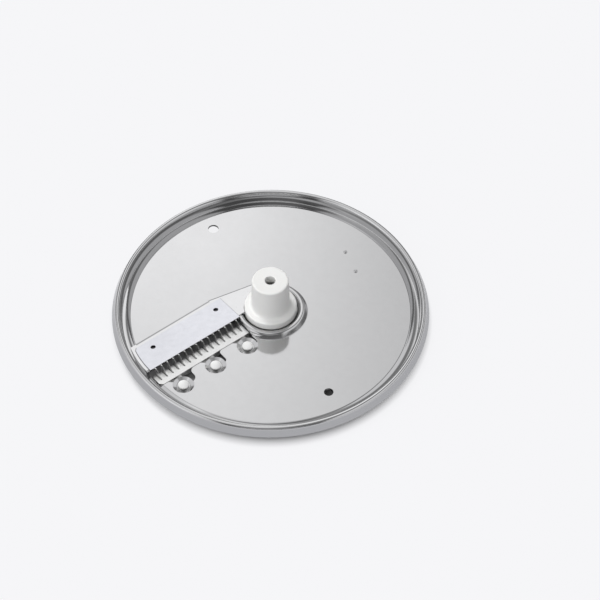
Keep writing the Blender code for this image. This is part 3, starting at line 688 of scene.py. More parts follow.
@dataclass(frozen=True)
class Layout:
    """Shared sizes of the disc, in metres, and the places that follow from them."""

    fit: float = 0.3 * MM
    past: float = 2.0 * MM
    disc_radius: float = 87.5 * MM
    sheet: float = 1.2 * MM
    rim_height: float = 5.6 * MM
    rim_top_width: float = 1.4 * MM
    rim_wall_lean: float = 1.0 * MM
    rim_skirt_lean: float = radians(22.5)
    groove_depth: float = 1.1 * MM
    groove_width: float = 2.7 * MM
    tongue_wall: float = 1.2 * MM
    hub_seat_height: float = 1.2 * MM
    hub_seat_width: float = 2.0 * MM
    flange_radius: float = 14.5 * MM
    collar_gap: float = 3.0 * MM
    collar_top: float = 1.7 * MM
    collar_slope: float = 1.6 * MM
    base_thickness: float = 5.7 * MM
    blade_angle: float = radians(37.2)
    crease_offset: float = 26.5 * MM
    edge_height: float = 4.4 * MM
    seat_depth: float = 0.9 * MM
    blade_thickness: float = 1.0 * MM
    blade_width: float = 19.9 * MM
    blade_rear_gap: float = 2.5 * MM
    comb_gap: float = 1.6 * MM
    comb_width: float = 7.6 * MM
    comb_end_gap: float = 0.6 * MM
    rivet_count: int = 3
    rivet_inset: float = 6.2 * MM
    rivet_outer_inset: float = 10.1 * MM
    rivet_offset: float = 6.7 * MM
    rivet_shank_radius: float = 1.6 * MM
    dish_depth: float = 1.1 * MM
    lug_thickness: float = 1.2 * MM

    @property
    def flat_height(self) -> float:
        """Height of the top of the disc's flat."""
        return self.base_thickness + self.fit + self.sheet - self.hub_seat_height

    @property
    def spigot_radius(self) -> float:
        """Radius of the hub's step into the sheet."""
        return self.flange_radius - self.hub_seat_width - self.fit

    @property
    def collar_radius(self) -> float:
        """Radius of the middle of the collar's top."""
        return self.flange_radius + self.collar_gap

    @property
    def collar_foot(self) -> float:
        """Radius of the collar's outer foot."""
        return self.collar_radius + self.collar_top / 2 + self.collar_slope

    @property
    def rim_edge(self) -> Point:
        """Radius and height of the middle of the sheet's edge, at the foot of the skirt."""
        half = self.sheet / 2
        return self.disc_radius - half * cos(self.rim_skirt_lean), half * sin(self.rim_skirt_lean)

    @property
    def rim_top(self) -> float:
        """Outer radius of the rim's top, in the middle of the sheet."""
        radius, height = self.rim_edge
        return radius - (self.rim_height - self.sheet / 2 - height) * tan(self.rim_skirt_lean)

    @property
    def wall_foot(self) -> float:
        """Radius of the foot of the rim's inner wall, in the middle of the sheet."""
        return self.rim_top - self.rim_top_width - self.rim_wall_lean

    @property
    def groove_inner(self) -> float:
        """Inner radius of the groove's floor."""
        return self.wall_foot - self.sheet / 2 - self.groove_width

    @property
    def tongue_radius(self) -> float:
        """Outer radius of the raised tongue."""
        return self.groove_inner + self.groove_width / 2

    @property
    def wall_inner(self) -> float:
        """Inner radius of the wall round the blade's outer end."""
        return self.tongue_radius - self.tongue_wall

    @property
    def blade_end(self) -> float:
        """Radius of the blade's outer end."""
        return self.wall_inner - 2 * self.fit

    @property
    def seat_length(self) -> float:
        """From the crease to the blade's edge, along the seat."""
        return self.blade_rear_gap + self.blade_width

    @property
    def seat_slope(self) -> float:
        """Angle of the blade's seat to the flat."""
        rise = self.edge_height - self.blade_thickness - self.fit + self.seat_depth
        return asin(rise / self.seat_length)

    @property
    def edge_y(self) -> float:
        """The blade's edge, across the blade line."""
        return self.crease_offset - self.seat_length * cos(self.seat_slope)

    @property
    def comb_rear(self) -> float:
        """The comb bar's rear edge."""
        return self.edge_y - self.comb_gap

    @property
    def comb_front(self) -> float:
        """The comb bar's front edge."""
        return self.comb_rear - self.comb_width

    @property
    def comb_inner(self) -> float:
        """The comb bar's inner end."""
        return self.collar_radius + self.collar_top / 2 + self.fit

    @property
    def comb_end(self) -> float:
        """Radius of the comb bar's outer end."""
        return self.wall_inner - self.fit - self.comb_end_gap

    @property
    def rivet_pitch(self) -> float:
        """From one rivet to the next."""
        row = self.comb_end - self.rivet_outer_inset - self.comb_inner - self.rivet_inset
        return row / (self.rivet_count - 1)

    @property
    def lug_bottom(self) -> float:
        """Underside of the comb bar's lugs, from the flat."""
        return -self.dish_depth - self.sheet - self.fit - self.lug_thickness

    @property
    def disc_axis(self) -> Matrix:
        """The frame on the disc's flat."""
        return Matrix.Translation((0.0, 0.0, self.flat_height))

    @property
    def blade_line(self) -> Matrix:
        """The frame on the flat that is turned along the blade."""
        return self.disc_axis @ Matrix.Rotation(self.blade_angle, 4, "Z")

    @property
    def blade_seat(self) -> Matrix:
        """The frame on the raised tongue, from the crease."""
        crease = Matrix.Translation((0.0, self.crease_offset, 0.0))
        return self.blade_line @ crease @ Matrix.Rotation(-self.seat_slope, 4, "X")

    def on_seat(self, points: Outline) -> Outline:
        """Points in plan on the blade line, as they lie on the seat."""
        return [(x, (y - self.crease_offset) / cos(self.seat_slope)) for x, y in points]

    def rivet_places(self) -> Outline:
        """The rivets' places on the blade line, from the hub outwards."""
        y = self.comb_front - self.rivet_offset
        first = -self.comb_inner - self.rivet_inset
        return [(first - self.rivet_pitch * i, y) for i in range(self.rivet_count)]


@dataclass(frozen=True)
class Blade:
    """The slicing blade, its holes and its screws."""

    layout: Layout
    inner_end: float = 17.8 * MM
    end_slant: float = 1.0 * MM
    corner: float = 1.6 * MM
    bevel_width: float = 2.6 * MM
    land: float = 0.1 * MM
    hole_radius: float = 1.4 * MM
    hole_rear_inset: float = 5.9 * MM
    hole_inner_inset: float = 6.3 * MM
    hole_outer_inset: float = 9.8 * MM
    screw_sink: float = 0.8 * MM
    screw_head_radius: float = 2.4 * MM
    screw_head: float = 1.0 * MM
    steps: int = 24

    def outline(self, grow: float) -> Outline:
        """The blade in plan, or its seat where it grows by a margin."""
        lay = self.layout
        rear = lay.crease_offset - lay.blade_rear_gap * cos(lay.seat_slope) + grow
        radius = lay.blade_end + grow
        corner_y = rear - self.corner
        outside = side_arc(radius, lay.edge_y, corner_y, self.steps)
        corner_x = circle_x(radius, corner_y) + self.corner
        inner_rear = (self.end_slant - self.inner_end + grow, rear)
        return outside + [(corner_x, rear), inner_rear, (grow - self.inner_end, lay.edge_y)]

    def screw_places(self) -> Outline:
        """The two screws' places on the seat."""
        lay = self.layout
        y = -lay.blade_rear_gap - self.hole_rear_inset
        end = circle_x(lay.blade_end, lay.crease_offset + y * cos(lay.seat_slope))
        return [(-self.inner_end - self.hole_inner_inset, y), (end + self.hole_outer_inset, y)]

    def holes(self, bench: Bench, low: float, high: float) -> list[Obj]:
        """Cutters for the two screw holes."""
        seat = self.layout.blade_seat
        return [bench.drum(at, self.hole_radius, low, high, seat, 32) for at in self.screw_places()]

    def build(self, bench: Bench, finishes: Finishes) -> None:
        """Builds the blade and its screws."""
        lay = self.layout
        low = lay.fit - lay.seat_depth
        high = low + lay.blade_thickness
        seat = lay.blade_seat
        blade = bench.prism("ground_blade", lay.on_seat(self.outline(0.0)), low, high, seat)
        lean = seat.to_3x3() @ Vector((0.0, -lay.blade_thickness, -self.bevel_width)).normalized()
        bench.slice_off(blade, seat @ Vector((0.0, -lay.seat_length, high - self.land)), lean)
        bench.combine(blade, self.holes(bench, low - lay.past, high + lay.past), "DIFFERENCE")
        bench.soften(blade, 0.06 * MM)
        keep(blade, finishes.ground, "blade_steel", "slicing_blade")
        self.build_screws(bench, finishes)

    def build_screws(self, bench: Bench, finishes: Finishes) -> None:
        """Builds the two dark screws, whose ends lie sunk in the blade's holes."""
        lay = self.layout
        shank = self.hole_radius - lay.fit
        top = lay.fit - lay.seat_depth + lay.blade_thickness - self.screw_sink
        head_top = -lay.seat_depth - lay.sheet - lay.fit
        head_low = head_top - self.screw_head
        section = [
            (0.0, head_low),
            (self.screw_head_radius, head_low, self.screw_head / 3, 3),
            (self.screw_head_radius, head_top),
            (shank, head_top),
            (shank, top, shank / 4, 3),
            (0.0, top),
        ]
        screw = bench.turn("blade_screws", section, 32, Matrix.Identity(4))
        bench.soften(screw, 0.0)
        (x, y), (outer, _) = self.screw_places()
        bench.set_row(screw, 2, (x, y), outer - x, lay.blade_seat)
        keep(screw, finishes.dark, "fastener_steel", "blade_screw_1", "blade_screw_2")


@dataclass(frozen=True)
class Spot:
    """A hole or a pip of the flat: its distance from the axis, its bearing, its radius and its flats."""

    reach: float
    bearing: float
    radius: float
    segments: int

    @property
    def place(self) -> Point:
        """Where it lies in plan."""
        return self.reach * cos(self.bearing), self.reach * sin(self.bearing)


@dataclass(frozen=True)
class PressedDisc:
    """The pressed sheet: rim, groove, flat, collar, raised tongue, comb opening and dished seats."""

    layout: Layout
    blade: Blade
    rim_curl: float = 0.85 * MM
    groove_slope: float = 2.0 * MM
    groove_sweep: float = 7.5 * MM
    press_radius: float = 0.9 * MM
    collar_height: float = 3.0 * MM
    crease_turn: float = 22.6 * MM
    crease_fall: float = radians(14.0)
    crease_stop: float = 1.5 * MM
    crease_line_width: float = 0.9 * MM
    crease_line_depth: float = 0.22 * MM
    crease_line_step: float = 1.2 * MM
    press_clearance: float = 0.01 * MM
    seat_overhang: float = 1.6 * MM
    dish_radius: float = 5.9 * MM
    dish_floor_radius: float = 3.6 * MM
    bay_reach: tuple[float, ...] = (6.1 * MM, 6.9 * MM, 8.6 * MM)
    bay_flare: tuple[float, ...] = (0.7 * MM, 1.8 * MM, 3.0 * MM)
    bay_start: float = radians(128.0)
    bay_end: float = radians(-14.0)
    holes: tuple[Spot, ...] = (
        Spot(68.7 * MM, radians(117.6), 3.0 * MM, 48),
        Spot(64.8 * MM, radians(-61.7), 2.6 * MM, 48),
    )
    pips: tuple[Spot, ...] = (
        Spot(59.9 * MM, radians(44.9), 1.1 * MM, 24),
        Spot(55.4 * MM, radians(30.4), 1.1 * MM, 24),
    )
    pip_height: float = 0.8 * MM
    pip_steps: int = 6
    rim_segments: int = 200
    dish_segments: int = 64
    steps: int = 24

    def path(self) -> Outline:
        """The middle of the sheet, from the hub's bore out to the edge of the rolled rim."""
        lay = self.layout
        half = lay.sheet / 2
        press = self.press_radius
        rim_middle = lay.rim_height - half
        return rounded(
            [
                (lay.spigot_radius + lay.fit, lay.hub_seat_height - half),
                (lay.flange_radius + 2 * lay.fit, lay.hub_seat_height - half, press, 3),
                (lay.collar_radius - lay.collar_top / 2, self.collar_height - half, press, 4),
                (lay.collar_radius + lay.collar_top / 2, self.collar_height - half, press, 4),
                (lay.collar_foot, -half, press, 4),
                (lay.groove_inner - self.groove_slope, -half, press, 3),
                (lay.groove_inner, -lay.groove_depth - half, self.groove_sweep, 12),
                (lay.wall_foot, -lay.groove_depth - half, press, 4),
                (lay.rim_top - lay.rim_top_width, rim_middle, self.rim_curl, 8),
                (lay.rim_top, rim_middle, self.rim_curl, 8),
                lay.rim_edge,
            ]
        )

    def crease_ends(self, offset: float) -> tuple[Point, Point]:
        """The crease's turning point and its end beside the collar, moved this far outwards."""
        turn = Vector((-self.crease_turn, self.layout.crease_offset + offset))
        along = Vector((cos(self.crease_fall), -sin(self.crease_fall)))
        return tuple(turn), tuple(turn - along * (turn.dot(along) + self.crease_stop))

    def opening(self) -> Outline:
        """The cut-out for the comb, which runs on under the tongue."""
        lay = self.layout
        rear = lay.crease_offset - lay.fit
        front = lay.comb_front - lay.fit
        tongue_front = lay.edge_y + self.seat_overhang
        radius = lay.collar_foot - lay.fit
        turn, end = self.crease_ends(-lay.fit)
        outer = side_arc(lay.wall_inner - lay.fit, front, rear, self.steps)
        stop = pi - asin(tongue_front / radius)
        inner = arc(radius, atan2(end[1], end[0]), stop, self.steps)
        inner_x = lay.fit - lay.comb_inner
        return outer + [turn] + inner + [(inner_x, tongue_front), (inner_x, front)]

    def tongue(self) -> Outline:
        """The raised tongue in plan."""
        lay = self.layout
        front = lay.edge_y + self.seat_overhang
        inner = lay.flange_radius + lay.fit
        turn, end = self.crease_ends(lay.fit)
        outside = side_arc(lay.tongue_radius, front, lay.crease_offset + lay.fit, self.steps)
        stop = pi - asin(front / inner)
        return outside + [turn, end] + arc(inner, atan2(end[1], end[0]), stop, self.steps)

    def bay(self, at: Point, reach: float, flare: float) -> Outline:
        """The bay of the opening beside one dished seat: a lobe round it that flares to the opening."""
        lay = self.layout
        x, y = at
        tab = self.dish_radius - lay.fit
        mouth = lay.comb_front - y
        around = arc(tab, self.bay_start, self.bay_end, self.steps, at)
        lobe = reach - tab * cos(self.bay_end)
        lobe_centre = (around[-1][0], around[-1][1] + lobe)
        flare_centre = (x + reach + flare, y + mouth - lay.fit - flare)
        lobe_side = arc(lobe, -pi / 2, 0.0, self.steps // 2, lobe_centre)[1:]
        right = lobe_side + arc(flare, pi, pi / 2, self.steps // 2, flare_centre)
        top = y + mouth
        return around + right + [(x + reach + flare, top), (x - tab, top), (x - tab, top - lay.fit)]

    def add_dishes(self, bench: Bench, plate: Obj) -> None:
        """Dishes the sheet under each rivet head, then opens it for the comb."""
        lay = self.layout
        lean = (self.dish_radius - self.dish_floor_radius) / lay.dish_depth
        line = lay.blade_line
        shank = lay.rivet_shank_radius
        half = lay.sheet / 2
        floor = -lay.dish_depth - lay.sheet
        dishes = []
        cuts = [bench.prism("opening", self.opening(), lay.lug_bottom, lay.rim_height + lay.past, line)]
        for at, reach, flare in zip(lay.rivet_places(), self.bay_reach, self.bay_flare):
            outer = self.dish_radius + half + lean * half
            under = [(shank, -half), (outer, -half), (self.dish_floor_radius + half, floor), (shank, floor)]
            inside = [
                (0.0, lay.past),
                (self.dish_radius + lean * lay.past, lay.past),
                (self.dish_floor_radius, -lay.dish_depth, self.press_radius, 4),
                (shank + lay.fit, -lay.dish_depth),
                (shank + lay.fit, lay.lug_bottom),
                (0.0, lay.lug_bottom),
            ]
            dishes.append(bench.turn("dish", under, self.dish_segments, line, at))
            cuts.append(bench.turn("dish_inside", inside, self.dish_segments, line, at))
            cuts.append(bench.prism("bay", self.bay(at, reach, flare), lay.lug_bottom, lay.past, line))
        bench.combine(plate, dishes, "UNION")
        bench.combine(plate, cuts, "DIFFERENCE")

    def add_tongue(self, bench: Bench, plate: Obj) -> None:
        """Raises the tongue in front of the crease, with the recess that the blade lies in."""
        lay = self.layout
        seat = lay.blade_seat
        half = lay.sheet / 2
        front = lay.edge_y + self.seat_overhang
        floor = -lay.seat_depth - lay.sheet
        tongue = bench.prism("tongue", lay.on_seat(self.tongue()), -lay.sheet, 0.0, seat)
        wall = lay.on_seat(self.blade.outline(lay.fit + lay.tongue_wall))
        under = bench.prism("seat", wall, floor, -half, seat)
        seat_front = seat @ Vector((0.0, lay.on_seat([(0.0, front)])[0][1], 0.0))
        bench.slice_off(under, seat_front, seat.to_3x3() @ Vector((0.0, -1.0, 0.0)))
        lip = side_arc(lay.tongue_radius, front, lay.crease_offset, self.steps)
        lip += side_arc(lay.blade_end, lay.crease_offset, front, self.steps)
        end_wall = bench.prism("end_wall", lip, -lay.groove_depth - half, lay.edge_height, lay.blade_line)
        over = seat.to_3x3() @ Vector((0.0, 0.0, 1.0))
        bench.slice_off(end_wall, seat @ Vector((0.0, 0.0, -half)), over)
        bench.combine(plate, [tongue, under, end_wall], "UNION")
        recess_plan = lay.on_seat(self.blade.outline(lay.fit))
        recess = bench.prism("recess", recess_plan, -lay.seat_depth, lay.past, seat)
        holes = self.blade.holes(bench, floor - lay.past, lay.past)
        above = bench.prism("above", lay.on_seat(self.tongue()), self.press_clearance, lay.past, seat)
        bench.combine(plate, [recess] + holes + [above], "DIFFERENCE")

    def press_line(self, bench: Bench, plate: Obj, start: Point, stop: Point) -> None:
        """Presses a fine groove into the flat from one point to another, on the blade's lines."""
        width, depth = self.crease_line_width, self.crease_line_depth
        section = [(0.0, -depth), (width, depth), (-width, depth)]
        run = Vector(stop) - Vector(start)
        heading = Matrix.Rotation(atan2(run.y, run.x), 4, "Z")
        place = self.layout.blade_line @ Matrix.Translation((*start, 0.0)) @ heading @ STAND
        bench.combine(plate, [bench.prism("crease_line", section, 0.0, run.length, place)], "DIFFERENCE")

    def build(self, bench: Bench, finishes: Finishes) -> None:
        """Builds the disc."""
        lay = self.layout
        section = sheet_section(self.path(), lay.sheet)
        plate = bench.turn("pressed_disc", section, self.rim_segments, lay.disc_axis)
        turn, _ = self.crease_ends(lay.fit)
        _, end = self.crease_ends(self.crease_line_step)
        self.press_line(bench, plate, turn, end)
        self.add_dishes(bench, plate)
        self.add_tongue(bench, plate)
        outer = circle_x(lay.groove_inner - self.groove_slope, lay.crease_offset)
        self.press_line(bench, plate, (outer, lay.crease_offset), (-self.crease_turn, lay.crease_offset))
        low = -lay.sheet - lay.past
        axis = lay.disc_axis
        for spot in self.holes:
            hole = bench.drum(spot.place, spot.radius, low, lay.past, axis, spot.segments)
            bench.combine(plate, [hole], "DIFFERENCE")
        pips = []
        turns = [pi / 2 * i / self.pip_steps for i in range(self.pip_steps + 1)]
        for spot in self.pips:
            dome = [(spot.radius * cos(turn), self.pip_height * sin(turn)) for turn in turns]
            root = [(0.0, -lay.sheet / 2), (spot.radius, -lay.sheet / 2)]
            pips.append(bench.turn("pip", root + dome, spot.segments, axis, spot.place))
        bench.combine(plate, pips, "UNION")
        bench.soften(plate, 0.0, sharp=22.0)
        keep(plate, finishes.pressed, "pressed_steel", "disc_plate")


@dataclass(frozen=True)
class Hub:
    """The moulded hub, its base under the sheet and the screws that draw them together."""

    layout: Layout
    height: float = 26.35 * MM
    top_radius: float = 10.0 * MM
    foot_radius: float = 10.7 * MM
    top_round: float = 1.0 * MM
    foot_round: float = 1.4 * MM
    hole_radius: float = 2.95 * MM
    bore_radius: float = 6.0 * MM
    roof: float = 4.6 * MM
    flange_thickness: float = 4.4 * MM
    broken_edge: float = 0.3 * MM
    screw_count: int = 4
    screw_radius: float = 1.25 * MM
    screw_bite: float = 4.2 * MM
    screw_head_radius: float = 2.3 * MM
    screw_head: float = 1.8 * MM
    screw_recess: float = 0.5 * MM
    socket_radius: float = 1.0 * MM
    socket_depth: float = 1.1 * MM
    segments: int = 128

    def build(self, bench: Bench, finishes: Finishes) -> None:
        """Builds the tower, its base and the screws."""
        lay = self.layout
        seat = lay.hub_seat_height + lay.fit
        flange_top = seat + self.flange_thickness
        spigot = lay.hub_seat_height - lay.sheet
        edge = self.broken_edge
        section = [
            (self.bore_radius, spigot),
            (lay.spigot_radius, spigot),
            (lay.spigot_radius, seat),
            (lay.flange_radius, seat, edge, 3),
            (lay.flange_radius, flange_top, self.top_round, 8),
            (self.foot_radius, flange_top, self.foot_round, 8),
            (self.top_radius, self.height, self.top_round, 8),
            (self.hole_radius, self.height, edge, 4),
            (self.hole_radius, self.height - self.roof),
            (self.bore_radius, self.height - self.roof),
        ]
        hub = bench.turn("moulded_hub", section, self.segments, lay.disc_axis)
        bench.soften(hub, 0.0)
        keep(hub, finishes.plastic, "ivory_plastic", "hub")
        base = bench.refined("hub_base", "moulded_hub_base", 0.15 * MM)
        keep(base, finishes.plastic, "ivory_plastic", "hub_base")
        self.build_screws(bench, finishes)

    def build_screws(self, bench: Bench, finishes: Finishes) -> None:
        """Builds the screws from below."""
        lay = self.layout
        spigot = lay.hub_seat_height - lay.sheet
        low = spigot - lay.fit - lay.base_thickness + self.screw_recess
        top = low + self.screw_head
        section = [
            (0.0, low + self.socket_depth),
            (self.socket_radius, low + self.socket_depth),
            (self.socket_radius, low),
            (self.screw_head_radius, low, self.screw_head / 5, 3),
            (self.screw_head_radius, top),
            (self.screw_radius, top),
            (self.screw_radius, spigot + self.screw_bite, self.screw_radius / 4, 2),
            (0.0, spigot + self.screw_bite),
        ]
        screws = bench.turn("hub_screws", section, 32, lay.disc_axis)
        bench.soften(screws, 0.0)
        circle = (self.bore_radius + lay.spigot_radius) / 2
        first = (0.0, 0.0, pi / self.screw_count)
        bench.ring.run(screws, {"Count": self.screw_count, "Radius": circle, "First angle": first})
        names = [f"hub_screw_{i + 1}" for i in range(self.screw_count)]
        keep(screws, finishes.button, "fastener_steel", *names)


@dataclass(frozen=True)
class Comb:
    """The comb's bar, its upright fins and the rivets that hold it."""

    layout: Layout
    bar_thickness: float = 3.8 * MM
    bar_corner: float = 1.6 * MM
    lug_radius: float = 3.9 * MM
    slot_gap: float = 0.03 * MM
    slot_mouth: float = 0.5 * MM
    fin_count: int = 15
    fin_pitch: float = 3.9 * MM
    fin_margin: float = 2.5 * MM
    fin_thickness: float = 0.6 * MM
    fin_height: float = 4.6 * MM
    fin_length: float = 4.6 * MM
    fin_tang: float = 2.5 * MM
    fin_grind: float = 1.0 * MM
    fin_edge: float = 0.1 * MM
    fin_sway: float = radians(0.5)
    fin_seed: int = 7
    rivet_head_radius: float = 3.05 * MM
    rivet_head: float = 0.9 * MM
    rivet_round: float = 0.22 * MM
    rivet_tail_radius: float = 2.8 * MM
    rivet_tail: float = 0.8 * MM

    def bar(self, bench: Bench) -> Obj:
        """The bar, with a close slot for each fin and a lug under each dished seat."""
        lay = self.layout
        line = lay.blade_line
        front = lay.comb_front
        end = side_arc(lay.comb_end, front + self.bar_corner, lay.comb_rear, 16)
        corner = (circle_x(lay.comb_end, front) + self.bar_corner, front)
        outline = end + [(-lay.comb_inner, lay.comb_rear), (-lay.comb_inner, front), corner]
        bar = bench.prism("comb_bar", outline, -self.bar_thickness, 0.0, line)
        lug_top = lay.lug_bottom + lay.lug_thickness
        lugs = []
        cuts = []
        for x, y in lay.rivet_places():
            lug = arc(self.lug_radius, pi, FULL_TURN, 24, (x, y))
            lug += [(x + self.lug_radius, front + lay.fit), (x - self.lug_radius, front + lay.fit)]
            lugs.append(bench.prism("lug", lug, lay.lug_bottom, lug_top, line))
            hole = lay.rivet_shank_radius + lay.fit
            cuts.append(bench.drum((x, y), hole, lay.lug_bottom - lay.past, lug_top + lay.past, line, 32))
        half = self.fin_thickness / 2 + self.slot_gap
        mouth = self.fin_thickness / 2 + self.slot_mouth
        toe = lay.comb_rear - self.fin_length - self.slot_gap
        back = lay.comb_rear + lay.past
        for i in range(self.fin_count):
            x = -lay.comb_inner - self.fin_margin - self.fin_pitch * i
            slot = [(x - half, toe), (x + half, toe), (x + mouth, lay.comb_rear), (x + mouth, back)]
            slot += [(x - mouth, back), (x - mouth, lay.comb_rear)]
            cuts.append(bench.prism("slot", slot, -self.fin_tang - lay.fit, lay.past, line))
        bench.combine(bar, lugs, "UNION")
        bench.combine(bar, cuts, "DIFFERENCE")
        bench.soften(bar, 0.0)
        return bar

    def fin(self, bench: Bench) -> Obj:
        """One fin, standing across the blade line at its zero."""
        lay = self.layout
        rear = lay.comb_rear - lay.fit
        toe = lay.comb_rear - self.fin_length
        tip = lay.edge_y - lay.fit
        outline = [
            (toe, 0.0),
            (lay.comb_rear, self.fin_height),
            (tip, self.fin_height - lay.fit),
            (tip, self.fin_height - self.fin_grind),
            (rear, 0.0),
            (rear, -self.fin_tang),
            (toe, -self.fin_tang),
        ]
        side = self.fin_thickness / 2
        fin = bench.prism("comb_fins", outline, -side, side, STAND)
        slope = Vector((0.0, lay.comb_rear - toe, self.fin_height)).normalized()
        inward = Vector((0.0, slope.z, -slope.y))
        for sign in (-1, 1):
            lean = Vector((sign * self.fin_grind, 0.0, 0.0)) - inward * (side - self.fin_edge / 2)
            bench.slice_off(fin, Vector((sign * self.fin_edge / 2, toe, 0.0)), lean.normalized())
        bench.soften(fin, 0.03 * MM, 1, 20.0)
        return fin

    def build(self, bench: Bench, finishes: Finishes) -> None:
        """Builds the bar, the fins and the rivets."""
        lay = self.layout
        keep(self.bar(bench), finishes.satin, "comb_steel", "comb_strip")
        fins = self.fin(bench)
        first = (-lay.comb_inner - self.fin_margin, 0.0)
        sway = {"Sway": (self.fin_sway, 0.0, self.fin_sway), "Seed": self.fin_seed}
        bench.set_row(fins, self.fin_count, first, -self.fin_pitch, lay.blade_line, **sway)
        names = [f"comb_fin_{i + 1:02d}" for i in range(self.fin_count)]
        keep(fins, finishes.satin, "comb_steel", *names)
        self.build_rivets(bench, finishes)

    def build_rivets(self, bench: Bench, finishes: Finishes) -> None:
        """Builds the flat rivets."""
        lay = self.layout
        shank = lay.rivet_shank_radius
        low = lay.fit - lay.dish_depth
        tail_top = lay.lug_bottom - lay.fit
        tail_low = tail_top - self.rivet_tail
        section = [
            (0.0, tail_low),
            (self.rivet_tail_radius, tail_low, self.rivet_tail / 2, 5),
            (self.rivet_tail_radius, tail_top),
            (shank, tail_top),
            (shank, low),
            (self.rivet_head_radius, low),
            (self.rivet_head_radius, low + self.rivet_head, self.rivet_round, 5),
            (0.0, low + self.rivet_head),
        ]
        rivets = bench.turn("comb_rivets", section, 64, Matrix.Identity(4))
        bench.soften(rivets, 0.0)
        bench.set_row(rivets, lay.rivet_count, lay.rivet_places()[0], -lay.rivet_pitch, lay.blade_line)
        names = [f"comb_rivet_{i + 1}" for i in range(lay.rivet_count)]
        keep(rivets, finishes.button, "fastener_steel", *names)


def keep(piece: Obj, material: bpy.types.Material, slot: str, *nodes: str) -> None:
    """Gives a finished piece its material and its place in the frame, and reports it.

    Args:
        piece: the finished piece.
        material: its material.
        slot: the record's material slot; it is not used.
        *nodes: the frame's nodes that it stands for.
    """
    piece.data.materials.clear()
    piece.data.materials.append(material)
    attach(piece, ROOT_BODY)
    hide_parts(*nodes)
    LOG.info("%s: %d faces, stands for %s", piece.name, len(piece.data.polygons), ", ".join(nodes))


# Studio

ACROSS = (1.0, 0.0, 0.0)
BACK = (0.0, 1.0, 0.0)
UP = (0.0, 0.0, 1.0)


@dataclass(frozen=True)
class Band:
    """A level that goes from least to most as a direction's cosine to an axis goes from low to high."""

    axis: Axis
    low: float
    high: float
    least: float = 0.0
    most: float = 1.0


class LightTent(NodeTree):
    """The world: dull surfaces see soft light, polished ones panels and cards before the backdrop."""

    OVERHEAD = Band(BACK, 0.1, 0.6, 0.3, 0.6)
    HOT_SPOT = (Band(ACROSS, -0.02, 0.05, 0.54, 0.0), Band(BACK, 0.608, 0.662, 0.5, 1.0))
    PANEL_EDGES = (Band(ACROSS, -0.34, -0.22), Band(ACROSS, 0.06, 0.17, 1.0, 0.0), Band(UP, 0.12, 0.3))
    LEFT_BOX = Band((-0.85, -0.1, 0.55), 0.72, 0.88, 0.0, 0.8)
    AROUND = Band(BACK, -0.4, 0.1, 0.5, 0.0)
    POLISHED_BASE = 0.28
    DARK_CARD = (
        Band(ACROSS, 0.45, 0.6, 1.0, 0.0),
        Band(ACROSS, -0.6, -0.45),
        Band(BACK, -0.3, -0.1, 1.0, 0.0),
        Band(UP, -0.02, 0.06, 0.0, 0.8),
    )
    OPEN_SIDES = (
        Band(ACROSS, 0.42, 0.5),
        Band(ACROSS, -0.54, -0.46, 1.0, 0.0),
        Band(BACK, -0.84, -0.78, 1.0, 0.0),
    )
    OPEN_ABOVE = Band(UP, 0.34, 0.44)
    SIDE_GLOW = Band((-0.8, -0.6, 0.5), 0.72, 0.88, 0.0, 1.2)
    DULL_BASE = 0.46
    LIGHT = (1.0, 1.0, 1.01)

    def __init__(self) -> None:
        """Starts the world."""
        world = bpy.data.worlds.new("light_tent")
        world.use_nodes = True
        bpy.context.scene.world = world
        super().__init__(world.node_tree)
        self.nodes.clear()
        self.direction = self.add("ShaderNodeTexCoord").outputs["Generated"]

    def level(self, band: Band) -> Socket:
        """The band's level in the direction that is looked in."""
        inputs = {0: self.direction, 1: Vector(band.axis).normalized()}
        cosine = self.add("ShaderNodeVectorMath", inputs, operation="DOT_PRODUCT").outputs["Value"]
        return self.spread(cosine, band.low, band.high, band.least, band.most)

    def levels(self, operation: str, *bands: Band) -> Socket:
        """The levels of several bands taken together."""
        return self.math(operation, *[self.level(band) for band in bands])

    def background(self, colour: Colour, strength: object) -> Socket:
        """A Background shader."""
        inputs = {"Color": (*colour, 1.0), "Strength": strength}
        return self.add("ShaderNodeBackground", inputs).outputs[0]

    def polished(self) -> Socket:
        """How bright polished surfaces see the panels and the dark card."""
        hot = self.levels("MULTIPLY", *self.HOT_SPOT)
        panel = self.math("ADD", self.level(self.OVERHEAD), hot)
        panel = self.math("MULTIPLY", panel, self.levels("MULTIPLY", *self.PANEL_EDGES))
        lights = self.levels("ADD", self.LEFT_BOX, self.AROUND)
        lights = self.math("ADD", panel, lights, self.POLISHED_BASE)
        card = self.levels("MULTIPLY", *self.DARK_CARD)
        return self.math("MULTIPLY", lights, self.math("SUBTRACT", 1.0, card))

    def build(self, backdrop: Colour) -> None:
        """Lights the scene, with this colour behind it."""
        rays = self.add("ShaderNodeLightPath").outputs
        dull = self.math("ADD", self.level(self.SIDE_GLOW), self.DULL_BASE)
        soft = self.background(self.LIGHT, dull)
        shown = self.background(self.LIGHT, self.polished())
        plain = self.background(backdrop, 1.0)
        bare = self.math("MULTIPLY", self.levels("MAXIMUM", *self.OPEN_SIDES), self.level(self.OPEN_ABOVE))
        bare = self.math("MULTIPLY", bare, rays["Is Glossy Ray"])
        behind = self.math("MAXIMUM", rays["Is Camera Ray"], rays["Is Transmission Ray"], bare)
        tent = self.add("ShaderNodeMixShader", {0: rays["Is Glossy Ray"], 1: soft, 2: shown}).outputs[0]
        mix = self.add("ShaderNodeMixShader", {0: behind, 1: tent, 2: plain}).outputs[0]
        self.links.new(mix, self.nodes.new("ShaderNodeOutputWorld").inputs[0])


